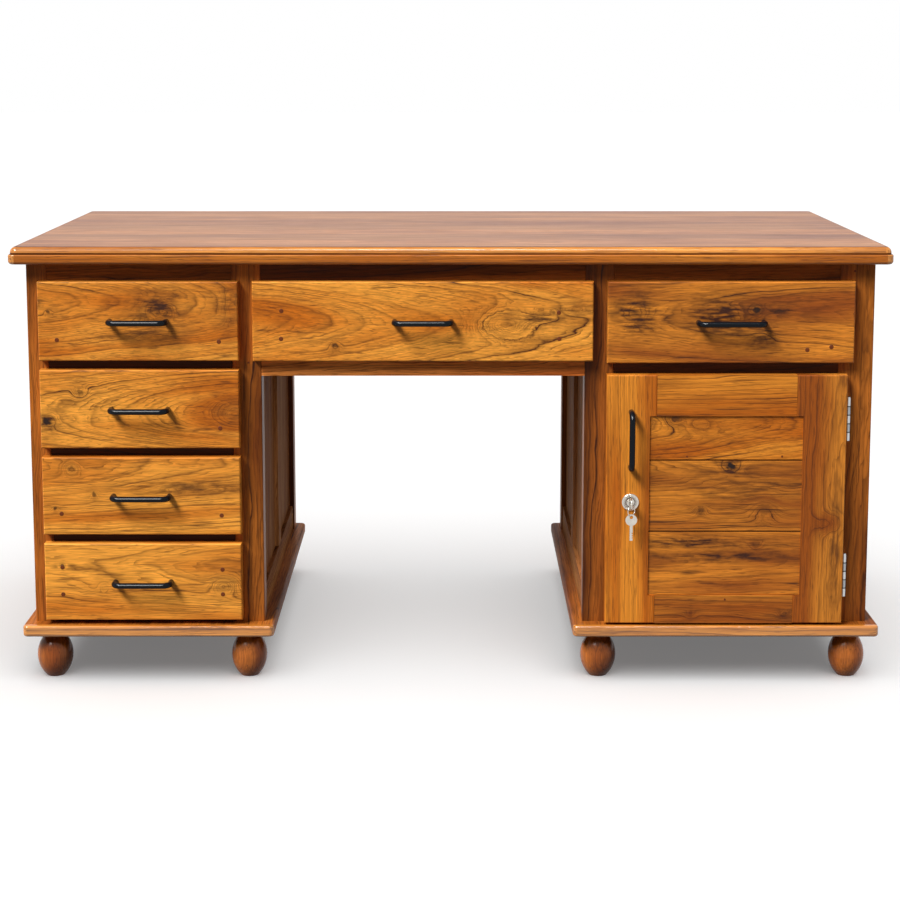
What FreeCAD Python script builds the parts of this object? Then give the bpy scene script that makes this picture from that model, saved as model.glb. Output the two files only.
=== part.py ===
"""A teak pedestal desk, in millimetres: +X right, +Y back, +Z up, origin on the floor at the middle.

Two pedestals on turned feet carry a moulded top. The left one holds four drawers, the right one a
drawer above a cabinet with a hinged, locked door, and a wide drawer bridges the kneehole.
Rails are tenoned into the posts, panels sit in grooves, and each joint is cut by the piece that
enters it.
"""
import FreeCAD, Part
import math
import os
import re
import Sketcher

V = FreeCAD.Vector

LEFT_DRAWERS = 4
HINGE_KNUCKLES = 5
NUT_SIDES = 6
# Each shoulder of a tenon, as a share of its rail
TENON_SHOULDER_SHARE = 0.2
# Upper and middle boards of the door's panel, and the shelf's height, as shares of what holds them
FIRST_BOARD_SHARE = 0.244
SECOND_BOARD_SHARE = 0.396
SHELF_SHARE = 0.49

SIZES = {
    # Overall
    "top_length": 1500,
    "top_depth": 750,
    "desk_height": 760,
    # Moulded top: a quarter-round bead standing on a fuller nosing
    "top_bead": 13,
    "top_bead_round": 10,
    "top_nosing": 17,
    "top_nosing_ease": 2.5,
    "top_nosing_round": 6,
    "top_step": 3,
    "top_corner": 12,
    # Overhang of the top beyond the posts
    "side_overhang": 25,
    "front_overhang": 32,
    "back_overhang": 25,
    # Turned feet
    "foot_height": 80,
    "foot_ball_diameter": 62,
    "foot_ball_middle": 37,
    "foot_flat_diameter": 32,
    "foot_neck_diameter": 40,
    "foot_collar_diameter": 48,
    "foot_collar_height": 10,
    "foot_spigot_diameter": 22,
    "foot_spigot_length": 12,
    "foot_inset": 47,
    # Plinth boards
    "plinth_thickness": 20,
    "plinth_round": 4.5,
    "plinth_corner": 9,
    "plinth_side_overhang": 18,
    "plinth_front_overhang": 30,
    "plinth_back_overhang": 20,
    # Pedestals and their posts
    "left_pedestal_width": 400,
    "right_pedestal_width": 495,
    "left_post_width": 35,
    "inner_post_width": 50,
    "hinge_post_width": 60,
    "post_depth": 40,
    "post_ease": 2,
    # Front rails
    "top_rail_height": 37,
    "divider_height": 30,
    "bottom_rail_height": 15,
    "middle_rail_height": 40,
    "apron_height": 35,
    "rail_depth": 30,
    "right_opening_height": 126,
    "centre_opening_height": 123,
    "tenon_length": 15,
    # Side frames with their panels
    "side_thickness": 22,
    "side_setback": 3,
    "side_bottom_rail": 50,
    "outer_top_rail": 60,
    "inner_top_rail": 180,
    "muntin_width": 45,
    "panel_thickness": 8,
    "panel_tongue": 8,
    # Backs
    "back_panel_thickness": 10,
    "back_panel_setback": 8,
    "back_apron_height": 110,
    # Drawers
    "front_thickness": 20,
    "front_ease": 2.5,
    "front_gap": 0.5,
    "front_overlay": 7,
    "front_side_overlay": 13,
    "hinge_side_overlay": 23,
    "drawer_back_gap": 75.5,
    "drawer_wall": 12,
    "drawer_bottom": 6,
    "drawer_bottom_rise": 8,
    "drawer_groove": 6,
    "drawer_side_gap": 1.5,
    "drawer_top_gap": 10,
    "slide_gap": 0.3,
    # Drawer runners
    "runner_ledge": 15,
    "runner_thickness": 15,
    "runner_lip": 15,
    # Pulls
    "pull_diameter": 10,
    "pull_centres": 96,
    "long_pull_centres": 111,
    "pull_projection": 30,
    "pull_bend": 12,
    # Door
    "door_thickness": 22,
    "door_overlay": 13,
    "door_top_overlay": 13,
    "door_floor_gap": 4,
    "stile_width": 86,
    "door_top_rail": 71,
    "door_bottom_rail": 49,
    "board_thickness": 12,
    "board_recess": 3,
    "board_rebate": 12,
    "board_bevel": 1.2,
    "door_ease": 2,
    "door_pull_drop": 112,
    "lock_inset": 42,
    "lock_drop": 221,
    # Butt hinges
    "hinge_length": 75,
    "hinge_end_inset": 80,
    "hinge_leaf": 1.5,
    "hinge_leaf_width": 17,
    "hinge_barrel": 8,
    "hinge_bore": 4.2,
    "hinge_pin": 4,
    "hinge_pin_head": 7,
    "hinge_pin_head_height": 1.5,
    "hinge_edge_offset": 6,
    "hinge_gap": 0.4,
    # Cam lock and its keeper
    "rosette_diameter": 30,
    "rosette_thickness": 3,
    "rosette_round": 2,
    "lock_barrel": 20,
    "lock_bore": 14.2,
    "lock_plug": 14,
    "lock_nut": 29,
    "lock_nut_thickness": 5,
    "cam_length": 26,
    "cam_width": 14,
    "cam_thickness": 3,
    "cam_square": 7,
    "keeper_setback": 12,
    "keeper_thickness": 1.5,
    "keeper_height": 30,
    "keeper_reach": 14,
    "keeper_depth": 28,
    "keeper_gap": 0.5,
    # Keys
    "key_bow": 20,
    "key_thickness": 2,
    "key_hole": 6,
    "key_hole_offset": 5,
    "key_blade_width": 5,
    "key_blade_length": 22,
    "key_shank": 4,
    "key_notch": 1.6,
    "key_notch_pitch": 4,
    "key_play": 0.5,
    "ring_diameter": 18,
    "ring_wire": 1.6,
    # Cabinet shelf
    "shelf_thickness": 18,
    "shelf_gap": 1,
    "cleat_width": 20,
    "cleat_height": 22,
    # How far a cutting tool runs past the piece it cuts
    "overrun": 5,
}

# Places worked out from the sizes, each used under its own name
PLACES = {
    "pull_reach": "pull_projection - front_overhang + door_stand_off + door_thickness",
    "top_front": "(pull_reach - top_depth) / 2",
    "face_y": "top_front + front_overhang",
    "back_y": "top_front + top_depth - back_overhang",
    "post_back": "face_y + post_depth",
    "back_post_front": "back_y - post_depth",
    "side_depth": "back_post_front - post_back",
    "under_top": "desk_height - top_bead - top_nosing",
    "floor_z": "foot_height + plinth_thickness",
    "post_height": "under_top - floor_z",
    "rail_z": "under_top - top_rail_height",
    "left_out": "side_overhang - top_length / 2",
    "left_in": "left_out + left_pedestal_width",
    "right_out": "top_length / 2 - side_overhang",
    "right_in": "right_out - right_pedestal_width",
    "left_bay": "left_out + left_post_width",
    "left_bay_width": "left_pedestal_width - left_post_width - inner_post_width",
    "centre_bay_width": "right_in - left_in",
    "right_bay": "right_in + inner_post_width",
    "right_bay_end": "right_out - hinge_post_width",
    "right_bay_width": "right_bay_end - right_bay",
    "left_opening_height": f"(rail_z - floor_z - bottom_rail_height - {LEFT_DRAWERS - 1} * divider_height)"
                           f" / {LEFT_DRAWERS}",
    "left_opening_pitch": "left_opening_height + divider_height",
    "left_opening_floor": "floor_z + bottom_rail_height",
    "centre_opening_z": "rail_z - centre_opening_height",
    "right_opening_z": "rail_z - right_opening_height",
    "cabinet_top": "right_opening_z - middle_rail_height",
    "side_tenon": "post_depth - rail_depth",
    "front_y": "face_y - front_gap",
    "front_face": "front_y - front_thickness",
    "back_panel_front": "back_y - back_panel_setback - back_panel_thickness",
    "drawer_depth": "back_panel_front - drawer_back_gap - front_y",
    "door_stand_off": "2 * hinge_leaf",
    "door_back": "face_y - door_stand_off",
    "door_face": "door_back - door_thickness",
    "door_left": "right_bay - door_overlay",
    "door_right": "right_bay_end + door_overlay",
    "door_width": "door_right - door_left",
    "door_z": "floor_z + door_floor_gap",
    "door_top": "cabinet_top + door_top_overlay",
    "door_height": "door_top - door_z",
    "rail_left": "door_left + stile_width",
    "rail_length": "door_width - 2 * stile_width",
    "boards_z": "door_z + door_bottom_rail",
    "boards_height": "door_height - door_bottom_rail - door_top_rail",
    "first_board": f"{FIRST_BOARD_SHARE} * boards_height",
    "second_board": f"{SECOND_BOARD_SHARE} * boards_height",
    "third_board": "boards_height - first_board - second_board",
    "hinge_x": "door_right + hinge_edge_offset",
    "hinge_y": "face_y - hinge_barrel / 2",
    "knuckle_pitch": f"hinge_length / {HINGE_KNUCKLES}",
    "lock_x": "door_left + lock_inset",
    "lock_z": "door_top - lock_drop",
    "rosette_face": "door_face - rosette_thickness",
    "cam_y": "face_y + keeper_setback + keeper_thickness + keeper_gap",
    "barrel_length": "cam_y - rosette_face",
    "bow_y": "rosette_face - key_shank - key_bow / 2",
    "hole_y": "bow_y - key_hole_offset",
    "wire_rest": "key_hole / 2 - ring_wire / 2 - key_play",
    "ring_z": "lock_z - wire_rest - ring_diameter / 2",
    "spare_hole_z": "ring_z - ring_diameter / 2 - wire_rest",
    "foot_rise": "foot_height - foot_collar_height - foot_ball_middle",
    "foot_lower_step": "(foot_ball_diameter - foot_flat_diameter) / 2",
    "foot_upper_step": "(foot_ball_diameter - foot_neck_diameter) / 2",
    "foot_lower_arc": "(foot_ball_middle ^ 2 + foot_lower_step ^ 2) / (2 * foot_lower_step)",
    "foot_upper_arc": "(foot_rise ^ 2 + foot_upper_step ^ 2) / (2 * foot_upper_step)",
    "shelf_z": f"floor_z + {SHELF_SHARE} * (cabinet_top - floor_z)",
}

FACING = 0.01
ROUND_Y = FreeCAD.Rotation(V(1, 0, 0), -90)
TURNED_OUT = FreeCAD.Rotation(V(0, 0, 1), 180)
UPRIGHT = FreeCAD.Rotation(V(0, 0, 1), V(0, -1, 0), V(1, 0, 0))
KEY_IN_LOCK = FreeCAD.Rotation(V(0, 0, -1), V(1, 0, 0), V(0, -1, 0))
RING_TURN = FreeCAD.Rotation(V(0, 0, 1), 45) * FreeCAD.Rotation(V(1, 0, 0), 90)

doc = FreeCAD.newDocument("pedestal_desk")
sheet = doc.addObject("Spreadsheet::Sheet", "Sizes")
for row, (alias, size) in enumerate(SIZES.items(), start=1):
    sheet.set(f"A{row}", str(size))
    sheet.setAlias(f"A{row}", alias)
doc.recompute()

subparts = []


# Ties to the sheet

def bind(text):
    """Expression text with every size tied to its cell and every place spelled out."""
    def spell(word):
        name = word.group(0)
        if name in PLACES:
            return f"({bind(PLACES[name])})"
        return f"Sizes.{name}"
    return re.sub(r"[a-z_]+", spell, text)


def tie(obj, **sizes):
    for prop, text in sizes.items():
        obj.setExpression(prop, bind(text))


def place(obj, x, y, z, turn=None):
    if turn:
        obj.Placement = FreeCAD.Placement(V(0, 0, 0), turn)
    for axis, text in zip("xyz", (x, y, z)):
        obj.setExpression(f"Placement.Base.{axis}", bind(text))
    return obj


def subpart(label, obj):
    """Names a finished piece, or group of pieces, as a sub-part."""
    obj.Label = label
    subparts.append(obj)
    return obj


# Plain solids and booleans

def board(name, x, y, z, length, depth, height):
    """A square-edged board from its lower left front corner."""
    box = doc.addObject("Part::Box", name)
    tie(box, Length=length, Width=depth, Height=height)
    return place(box, x, y, z)


def rod(name, x, y, z, diameter, length, turn=None):
    """A round rod that rises from its foot, or runs the way it is turned."""
    cylinder = doc.addObject("Part::Cylinder", name)
    tie(cylinder, Radius=f"({diameter}) / 2", Height=length)
    return place(cylinder, x, y, z, turn)


def join(name, pieces):
    fused = doc.addObject("Part::MultiFuse", name)
    fused.Shapes = pieces
    fused.Refine = True
    return fused


def cut(name, base, tools):
    """The base with the pieces that enter it taken out."""
    result = doc.addObject("Part::Cut", name)
    result.Base = base
    result.Tool = tools[0] if len(tools) == 1 else join(f"{name}_tools", tools)
    result.Refine = True
    return result


def gather(name, pieces):
    """Separate pieces that share one sub-part."""
    group = doc.addObject("Part::Compound", name)
    group.Links = pieces
    return group


def tenoned(name, run, corner, size, tenon):
    """A rail along axis number run, with a shouldered tenon past each end."""
    start = []
    extent = []
    for axis in range(3):
        shift = tenon if axis == run else f"-{TENON_SHOULDER_SHARE} * ({size[axis]})"
        start.append(f"{corner[axis]} - ({shift})")
        extent.append(f"{size[axis]} + 2 * ({shift})")
    return join(name, [board(f"{name}_body", *corner, *size), board(f"{name}_tenons", *start, *extent)])


# Sketched solids

def sketch_on(body, role):
    sketch = body.newObject("Sketcher::SketchObject", f"{body.Name}_sketch")
    plane = next(feature for feature in body.Origin.OriginFeatures if feature.Role == role)
    sketch.AttachmentSupport = [(plane, "")]
    sketch.MapMode = "FlatFace"
    return sketch


def pin_point(sketch, geometry, end, across, up):
    """Ties one end of a sketch line to its place, measured from the sketch's origin."""
    for kind, axis_line, text in (("DistanceX", -2, across), ("DistanceY", -1, up)):
        if text == "0":
            sketch.addConstraint(Sketcher.Constraint("PointOnObject", geometry, end, axis_line))
            continue
        size_now = float(sketch.evalExpression(bind(text)))
        index = sketch.addConstraint(Sketcher.Constraint(kind, -1, 1, geometry, end, size_now))
        sketch.setExpression(f"Constraints[{index}]", bind(text))


def outline(sketch, corners, closed=True):
    """Lines through (across, up) corners; (across, up, radius) ends an arc that turns left."""
    points = [V(*(float(sketch.evalExpression(bind(text))) for text in corner[:2]), 0) for corner in corners]
    first = 0 if closed else 1
    drawn = []
    for number in range(first, len(corners)):
        start = points[number - 1]
        end = points[number]
        if len(corners[number]) == 2:
            drawn.append(sketch.addGeometry(Part.LineSegment(start, end)))
            continue
        radius_text = corners[number][2]
        radius = float(sketch.evalExpression(bind(radius_text)))
        chord = end - start
        rise = math.sqrt(max(radius ** 2 - (chord.Length / 2) ** 2, 0))
        centre = (start + end) / 2 + V(-chord.y, chord.x, 0).normalize() * rise
        angles = [math.atan2(point.y - centre.y, point.x - centre.x) for point in (start, end)]
        arc = Part.ArcOfCircle(Part.Circle(centre, V(0, 0, 1), radius), *angles)
        drawn.append(sketch.addGeometry(arc))
        index = sketch.addConstraint(Sketcher.Constraint("Radius", drawn[-1], radius))
        sketch.setExpression(f"Constraints[{index}]", bind(radius_text))
    for number, geometry in enumerate(drawn):
        if closed or number:
            sketch.addConstraint(Sketcher.Constraint("Coincident", drawn[number - 1], 2, geometry, 1))
        else:
            pin_point(sketch, geometry, 1, *corners[0][:2])
        pin_point(sketch, geometry, 2, *corners[number + first][:2])
    return sketch


def pad(body, sketch, length):
    feature = body.newObject("PartDesign::Pad", f"{body.Name}_pad")
    feature.Profile = sketch
    tie(feature, Length=length)
    doc.recompute()
    return feature


def faces_to(feature, *directions):
    """Names of a feature's flat faces that look any of the given ways."""
    return [f"Face{number}" for number, face in enumerate(feature.Shape.Faces, start=1)
            if any(face.normalAt(0, 0).getAngle(direction) < FACING for direction in directions)]


def edges_along(feature, direction):
    """Names of a feature's straight edges that run a given way."""
    return [f"Edge{number}" for number, edge in enumerate(feature.Shape.Edges, start=1)
            if edge.tangentAt(edge.FirstParameter).cross(direction).Length < FACING]


def fillet(body, feature, names, radius):
    rounded = body.newObject("PartDesign::Fillet", f"{body.Name}_round")
    rounded.Base = (feature, names)
    tie(rounded, Radius=radius)
    doc.recompute()
    return rounded


def rounded_slab(name, corner, size, corner_radius, *rounds):
    """A flat board with rounded corners; each round is a radius and the side whose edges it runs along."""
    body = doc.addObject("PartDesign::Body", name)
    length, depth, thickness = size
    sketch = outline(sketch_on(body, "XY_Plane"),
                     [("0", "0"), (length, "0"), (length, depth), ("0", depth)])
    slab = pad(body, sketch, thickness)
    slab = fillet(body, slab, edges_along(slab, V(0, 0, 1)), corner_radius)
    for radius, side in rounds:
        slab = fillet(body, slab, faces_to(slab, side), radius)
    return place(body, *corner)


def eased_front(name, x, back, z, width, thickness, height, ease):
    """An upright board whose front edges are eased, from the left end of its back face."""
    body = doc.addObject("PartDesign::Body", name)
    sketch = outline(sketch_on(body, "XZ_Plane"),
                     [("0", "0"), (width, "0"), (width, height), ("0", height)])
    slab = pad(body, sketch, thickness)
    fillet(body, slab, faces_to(slab, V(0, -1, 0)), ease)
    return place(body, x, back, z)


# Top, feet and plinths

def desk_top():
    nosing = rounded_slab("nosing", ("-top_length / 2", "top_front", "under_top"),
                          ("top_length", "top_depth", "top_nosing"), "top_corner",
                          ("top_nosing_ease", V(0, 0, 1)), ("top_nosing_round", V(0, 0, -1)))
    bead = rounded_slab("bead", ("top_step - top_length / 2", "top_front + top_step",
                                 "under_top + top_nosing"),
                        ("top_length - 2 * top_step", "top_depth - 2 * top_step", "top_bead"),
                        "top_corner", ("top_bead_round", V(0, 0, 1)))
    subpart("desk_top", join("top", [nosing, bead]))


def foot(name, x, y):
    """A turned ball foot: egg-shaped ball, neck, collar and the spigot that enters the plinth."""
    body = doc.addObject("PartDesign::Body", name)
    profile = outline(sketch_on(body, "XZ_Plane"), [
        ("0", "0"),
        ("foot_flat_diameter / 2", "0"),
        ("foot_ball_diameter / 2", "foot_ball_middle", "foot_lower_arc"),
        ("foot_neck_diameter / 2", "foot_ball_middle + foot_rise", "foot_upper_arc"),
        ("foot_collar_diameter / 2", "foot_height - foot_collar_height / 2"),
        ("foot_collar_diameter / 2", "foot_height"),
        ("foot_spigot_diameter / 2", "foot_height"),
        ("foot_spigot_diameter / 2", "foot_height + foot_spigot_length"),
        ("0", "foot_height + foot_spigot_length"),
    ])
    turning = body.newObject("PartDesign::Revolution", f"{name}_turning")
    turning.Profile = profile
    turning.ReferenceAxis = (profile, ["V_Axis"])
    doc.recompute()
    return place(body, x, y, "0")


def plinths():
    feet = []
    front = "face_y - plinth_front_overhang"
    depth = "back_y - face_y + plinth_front_overhang + plinth_back_overhang"
    for side, start, width in (("left", "left_out", "left_pedestal_width"),
                               ("right", "right_in", "right_pedestal_width")):
        x = f"{start} - plinth_side_overhang"
        length = f"{width} + 2 * plinth_side_overhang"
        slab = rounded_slab(f"{side}_plinth_slab", (x, front, "foot_height"),
                            (length, depth, "plinth_thickness"), "plinth_corner",
                            ("plinth_round", V(0, 0, 1)), ("plinth_round", V(0, 0, -1)))
        own = [foot(f"{side}_foot_{place_x}_{place_y}", across, along)
               for place_x, across in (("left", f"{x} + foot_inset"),
                                       ("right", f"{x} + {length} - foot_inset"))
               for place_y, along in (("front", f"{front} + foot_inset"),
                                      ("back", f"{front} + {depth} - foot_inset"))]
        subpart(f"{side}_plinth", cut(f"{side}_plinth_board", slab, own))
        feet += own
    subpart("bun_feet", gather("feet", feet))


# Carcass

def front_rail(name, x, z, width, height):
    return tenoned(name, 0, (x, "face_y", z), (width, "rail_depth", height), "tenon_length")


def side_frame(name, face, top_rail):
    """Top rail, bottom rail and muntin of one pedestal side, with the two panels they hold."""
    z_low = "floor_z + side_bottom_rail"
    z_high = f"under_top - {top_rail}"
    opening = f"({z_high} - ({z_low}))"
    light = "((side_depth - muntin_width) / 2)"
    muntin_y = f"post_back + {light}"
    panel_x = f"{face} + (side_thickness - panel_thickness) / 2"
    panels = [board(f"{name}_panel_{number}", panel_x, f"{start} - panel_tongue", f"{z_low} - panel_tongue",
                    "panel_thickness", f"{light} + 2 * panel_tongue", f"{opening} + 2 * panel_tongue")
              for number, start in enumerate(("post_back", f"{muntin_y} + muntin_width"), start=1)]
    muntin = tenoned(f"{name}_muntin_blank", 2, (face, muntin_y, z_low),
                     ("side_thickness", "muntin_width", opening), "side_tenon")
    rails = [tenoned(f"{name}_{place_z}_blank", 1, (face, "post_back", z),
                     ("side_thickness", "side_depth", height), "side_tenon")
             for place_z, z, height in (("low", "floor_z", "side_bottom_rail"), ("high", z_high, top_rail))]
    frame = [cut(f"{name}_rail_{number}", rail, panels + [muntin])
             for number, rail in enumerate(rails, start=1)]
    frame.append(cut(f"{name}_muntin", muntin, panels))
    return frame, panels


def post(label, x, width, y, entering):
    """A square post with eased corners, mortised for the pieces that enter it."""
    body = doc.addObject("PartDesign::Body", f"{label}_blank")
    sketch = outline(sketch_on(body, "XY_Plane"),
                     [("0", "0"), (width, "0"), (width, "post_depth"), ("0", "post_depth")])
    blank = pad(body, sketch, "post_height")
    fillet(body, blank, edges_along(blank, V(0, 0, 1)), "post_ease")
    return cut(f"{label}_post", place(body, x, y, "floor_z"), entering)


def carcass():
    left_top = front_rail("left_top", "left_bay", "rail_z", "left_bay_width", "top_rail_height")
    dividers = [front_rail(f"divider_{number}", "left_bay",
                           f"left_opening_floor + {number} * left_opening_pitch - divider_height",
                           "left_bay_width", "divider_height") for number in range(1, LEFT_DRAWERS)]
    dividers.append(front_rail("bottom_rail", "left_bay", "floor_z", "left_bay_width", "bottom_rail_height"))
    centre_top = front_rail("centre_top", "left_in", "rail_z", "centre_bay_width", "top_rail_height")
    apron = front_rail("apron", "left_in", "centre_opening_z - apron_height", "centre_bay_width",
                       "apron_height")
    right_top = front_rail("right_top", "right_bay", "rail_z", "right_bay_width", "top_rail_height")
    middle = front_rail("middle", "right_bay", "cabinet_top", "right_bay_width", "middle_rail_height")
    back_apron = tenoned("back_apron", 0, ("left_in", "back_post_front + side_tenon",
                                           "under_top - back_apron_height"),
                         ("centre_bay_width", "side_thickness", "back_apron_height"), "tenon_length")

    inset = "side_setback - side_thickness"
    sides = {
        "left_outer": side_frame("left_outer", "left_out + side_setback", "outer_top_rail"),
        "left_inner": side_frame("left_inner", f"left_in - {inset}", "inner_top_rail"),
        "right_inner": side_frame("right_inner", "right_in + side_setback", "inner_top_rail"),
        "right_outer": side_frame("right_outer", f"right_out - {inset}", "outer_top_rail"),
    }
    entering = {name: frame + panels for name, (frame, panels) in sides.items()}
    backs = {side: board(f"{side}_back", f"{start} - panel_tongue",
                         "back_panel_front", "floor_z",
                         f"{width} + 2 * panel_tongue", "back_panel_thickness", "post_height")
             for side, start, width in (("left", "left_bay", "left_bay_width"),
                                        ("right", "right_bay", "right_bay_width"))}

    posts = (
        ("left_front_outer_post", "left_out", "left_post_width", "left_outer", [left_top] + dividers),
        ("left_front_inner_post", "left_in - inner_post_width", "inner_post_width", "left_inner",
         [left_top, centre_top, apron] + dividers),
        ("right_front_inner_post", "right_in", "inner_post_width", "right_inner",
         [centre_top, apron, right_top, middle]),
        ("right_front_outer_post", "right_bay_end", "hinge_post_width", "right_outer", [right_top, middle]),
    )
    back_posts = []
    for label, x, width, side, rails in posts:
        subpart(label, post(label, x, width, "face_y", entering[side] + rails))
        behind = [backs[side.split("_")[0]]]
        if side.endswith("inner"):
            behind.append(back_apron)
        back_posts.append(post(f"{side}_back", x, width, "back_post_front", entering[side] + behind))
    subpart("back_posts", gather("posts_behind", back_posts))

    for label, rail in (("left_top_rail", left_top), ("centre_top_rail", centre_top),
                        ("centre_apron_rail", apron), ("right_top_rail", right_top),
                        ("right_middle_rail", middle), ("centre_back_apron", back_apron)):
        subpart(label, rail)
    subpart("left_drawer_rails", gather("dividers", dividers))
    for name, (frame, panels) in sides.items():
        subpart(f"{name}_side_frame", gather(f"{name}_frame", frame))
    for side in ("left", "right"):
        panels = sides[f"{side}_outer"][1] + sides[f"{side}_inner"][1]
        subpart(f"{side}_side_panels", gather(f"{side}_panels", panels))
        subpart(f"{side}_back_panel", backs[side])


def runner(name, wall, edge, z, hand):
    """An angled runner from a side frame's face to just inside the opening; hand is +1 on the left."""
    low = f"({z} - runner_thickness)"
    lip_x, lip_width = (wall, f"{edge} - ({wall})") if hand > 0 else (edge, f"{wall} - ({edge})")
    ledge_x = wall if hand > 0 else f"{edge} - runner_ledge"
    lip = board(f"{name}_lip", lip_x, "post_back", low, lip_width, "side_depth",
                "runner_thickness + runner_lip")
    ledge = board(f"{name}_ledge", ledge_x, "post_back", low, f"{lip_width} + runner_ledge", "side_depth",
                  "runner_thickness")
    return join(name, [lip, ledge])


def runners():
    inset = "side_setback + side_thickness"
    bays = [(f"left_{number}", "left_bay", "left_bay_width",
             f"left_opening_floor + {number} * left_opening_pitch",
             f"left_out + {inset}", f"left_in - ({inset})") for number in range(LEFT_DRAWERS)]
    bays.append(("centre", "left_in", "centre_bay_width", "centre_opening_z",
                 "left_in - side_setback", "right_in + side_setback"))
    bays.append(("right", "right_bay", "right_bay_width", "right_opening_z",
                 f"right_in + {inset}", f"right_out - ({inset})"))
    pieces = []
    for name, start, width, z, left_wall, right_wall in bays:
        pieces.append(runner(f"{name}_left_runner", left_wall, start, z, 1))
        pieces.append(runner(f"{name}_right_runner", right_wall, f"({start} + {width})", z, -1))
    subpart("drawer_runners", gather("all_runners", pieces))


def cabinet_shelf():
    wall_left = "right_in + side_setback + side_thickness"
    wall_right = "right_out - side_setback - side_thickness"
    cleat_z = "shelf_z - cleat_height"
    cleats = [board(f"cleat_{side}", x, "post_back", cleat_z, "cleat_width", "side_depth", "cleat_height")
              for side, x in (("left", wall_left), ("right", f"{wall_right} - cleat_width"))]
    subpart("shelf_cleats", gather("cleats", cleats))
    subpart("cabinet_shelf", board("shelf", f"{wall_left} + shelf_gap", "post_back + shelf_gap", "shelf_z",
                                   f"{wall_right} - ({wall_left}) - 2 * shelf_gap",
                                   "side_depth - 2 * shelf_gap", "shelf_thickness"))


# Drawers

def pull(name, x, y, z, centres, turn):
    """A round bar bent to two legs; x, y, z is the foot of its first leg."""
    body = doc.addObject("PartDesign::Body", name)
    line = "pull_projection - pull_diameter / 2"
    path = outline(sketch_on(body, "XY_Plane"), [
        (centres, "0"),
        (centres, f"{line} - pull_bend"),
        (f"{centres} - pull_bend", line, "pull_bend"),
        ("pull_bend", line),
        ("0", f"{line} - pull_bend", "pull_bend"),
        ("0", "0"),
    ], closed=False)
    section = sketch_on(body, "XZ_Plane")
    circle = section.addGeometry(Part.Circle(V(0, 0, 0), V(0, 0, 1), SIZES["pull_diameter"] / 2))
    pin_point(section, circle, 3, centres, "0")
    index = section.addConstraint(Sketcher.Constraint("Diameter", circle, SIZES["pull_diameter"]))
    section.setExpression(f"Constraints[{index}]", bind("pull_diameter"))
    bar = body.newObject("PartDesign::AdditivePipe", f"{name}_bar")
    bar.Profile = section
    bar.Spine = (path, [])
    doc.recompute()
    return place(body, x, y, z, turn)


def drawer(label, bay, width, z, opening, right_overlay, centres):
    """A drawer of four walls and a bottom, let into an overlay front that carries the pull."""
    x = f"{bay} + drawer_side_gap"
    box_width = f"({width} - 2 * drawer_side_gap)"
    box_z = f"{z} + slide_gap"
    box_height = f"({opening} - slide_gap - drawer_top_gap)"
    bottom_z = f"{box_z} + drawer_bottom_rise"
    entry = "front_y - drawer_groove"
    back_y = "front_y + drawer_depth - 2 * drawer_wall"
    inner_x = f"{x} + drawer_wall - drawer_groove"
    inner_width = f"{box_width} - 2 * drawer_wall + 2 * drawer_groove"
    bottom = board(f"{label}_bottom", inner_x, entry, bottom_z, inner_width, "drawer_depth + drawer_groove",
                   "drawer_bottom")
    back = board(f"{label}_back", inner_x, back_y, f"{bottom_z} + drawer_bottom", inner_width, "drawer_wall",
                 f"{box_height} - drawer_bottom_rise - drawer_bottom")
    walls = [board(f"{label}_wall_{side}", start, entry, box_z, "drawer_wall", "drawer_depth + drawer_groove",
                   box_height)
             for side, start in (("left", x), ("right", f"{x} + {box_width} - drawer_wall"))]
    sides = [cut(f"{wall.Name}_grooved", wall, [bottom, back]) for wall in walls]
    subpart(f"{label}_box", gather(f"{label}_walls", sides + [back, bottom]))

    front_width = f"({width} + front_side_overlay + {right_overlay})"
    front_x = f"({bay} - front_side_overlay)"
    front_height = f"({opening} + 2 * front_overlay)"
    front = eased_front(f"{label}_board", front_x, "front_y", f"{z} - front_overlay", front_width,
                        "front_thickness", front_height, "front_ease")
    subpart(f"{label}_front", cut(f"{label}_grooved_front", front, sides + [bottom]))
    pull_x = f"{front_x} + {front_width} / 2 + {centres} / 2"
    subpart(f"{label}_pull", pull(f"{label}_bar", pull_x, "front_face", f"{z} + {opening} / 2", centres,
                                  TURNED_OUT))


def drawers():
    for number in range(LEFT_DRAWERS):
        level = LEFT_DRAWERS - 1 - number
        drawer(f"left_drawer_{number + 1}", "left_bay", "left_bay_width",
               f"(left_opening_floor + {level} * left_opening_pitch)", "left_opening_height",
               "front_side_overlay", "pull_centres")
    drawer("centre_drawer", "left_in", "centre_bay_width", "centre_opening_z", "centre_opening_height",
           "front_side_overlay", "pull_centres")
    drawer("right_drawer", "right_bay", "right_bay_width", "right_opening_z", "right_opening_height",
           "hinge_side_overlay", "long_pull_centres")


# Door

def panel_board(name, z, height):
    """One board of the door's panel, with bevelled front edges, let into the stiles' rebates."""
    body = doc.addObject("PartDesign::Body", name)
    width = "rail_length + 2 * board_rebate"
    sketch = outline(sketch_on(body, "YZ_Plane"), [
        ("board_bevel", "0"),
        ("board_thickness", "0"),
        ("board_thickness", height),
        ("board_bevel", height),
        ("0", f"{height} - board_bevel"),
        ("0", "board_bevel"),
    ])
    pad(body, sketch, width)
    return place(body, "rail_left - board_rebate", "door_face + board_recess", z)


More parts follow.
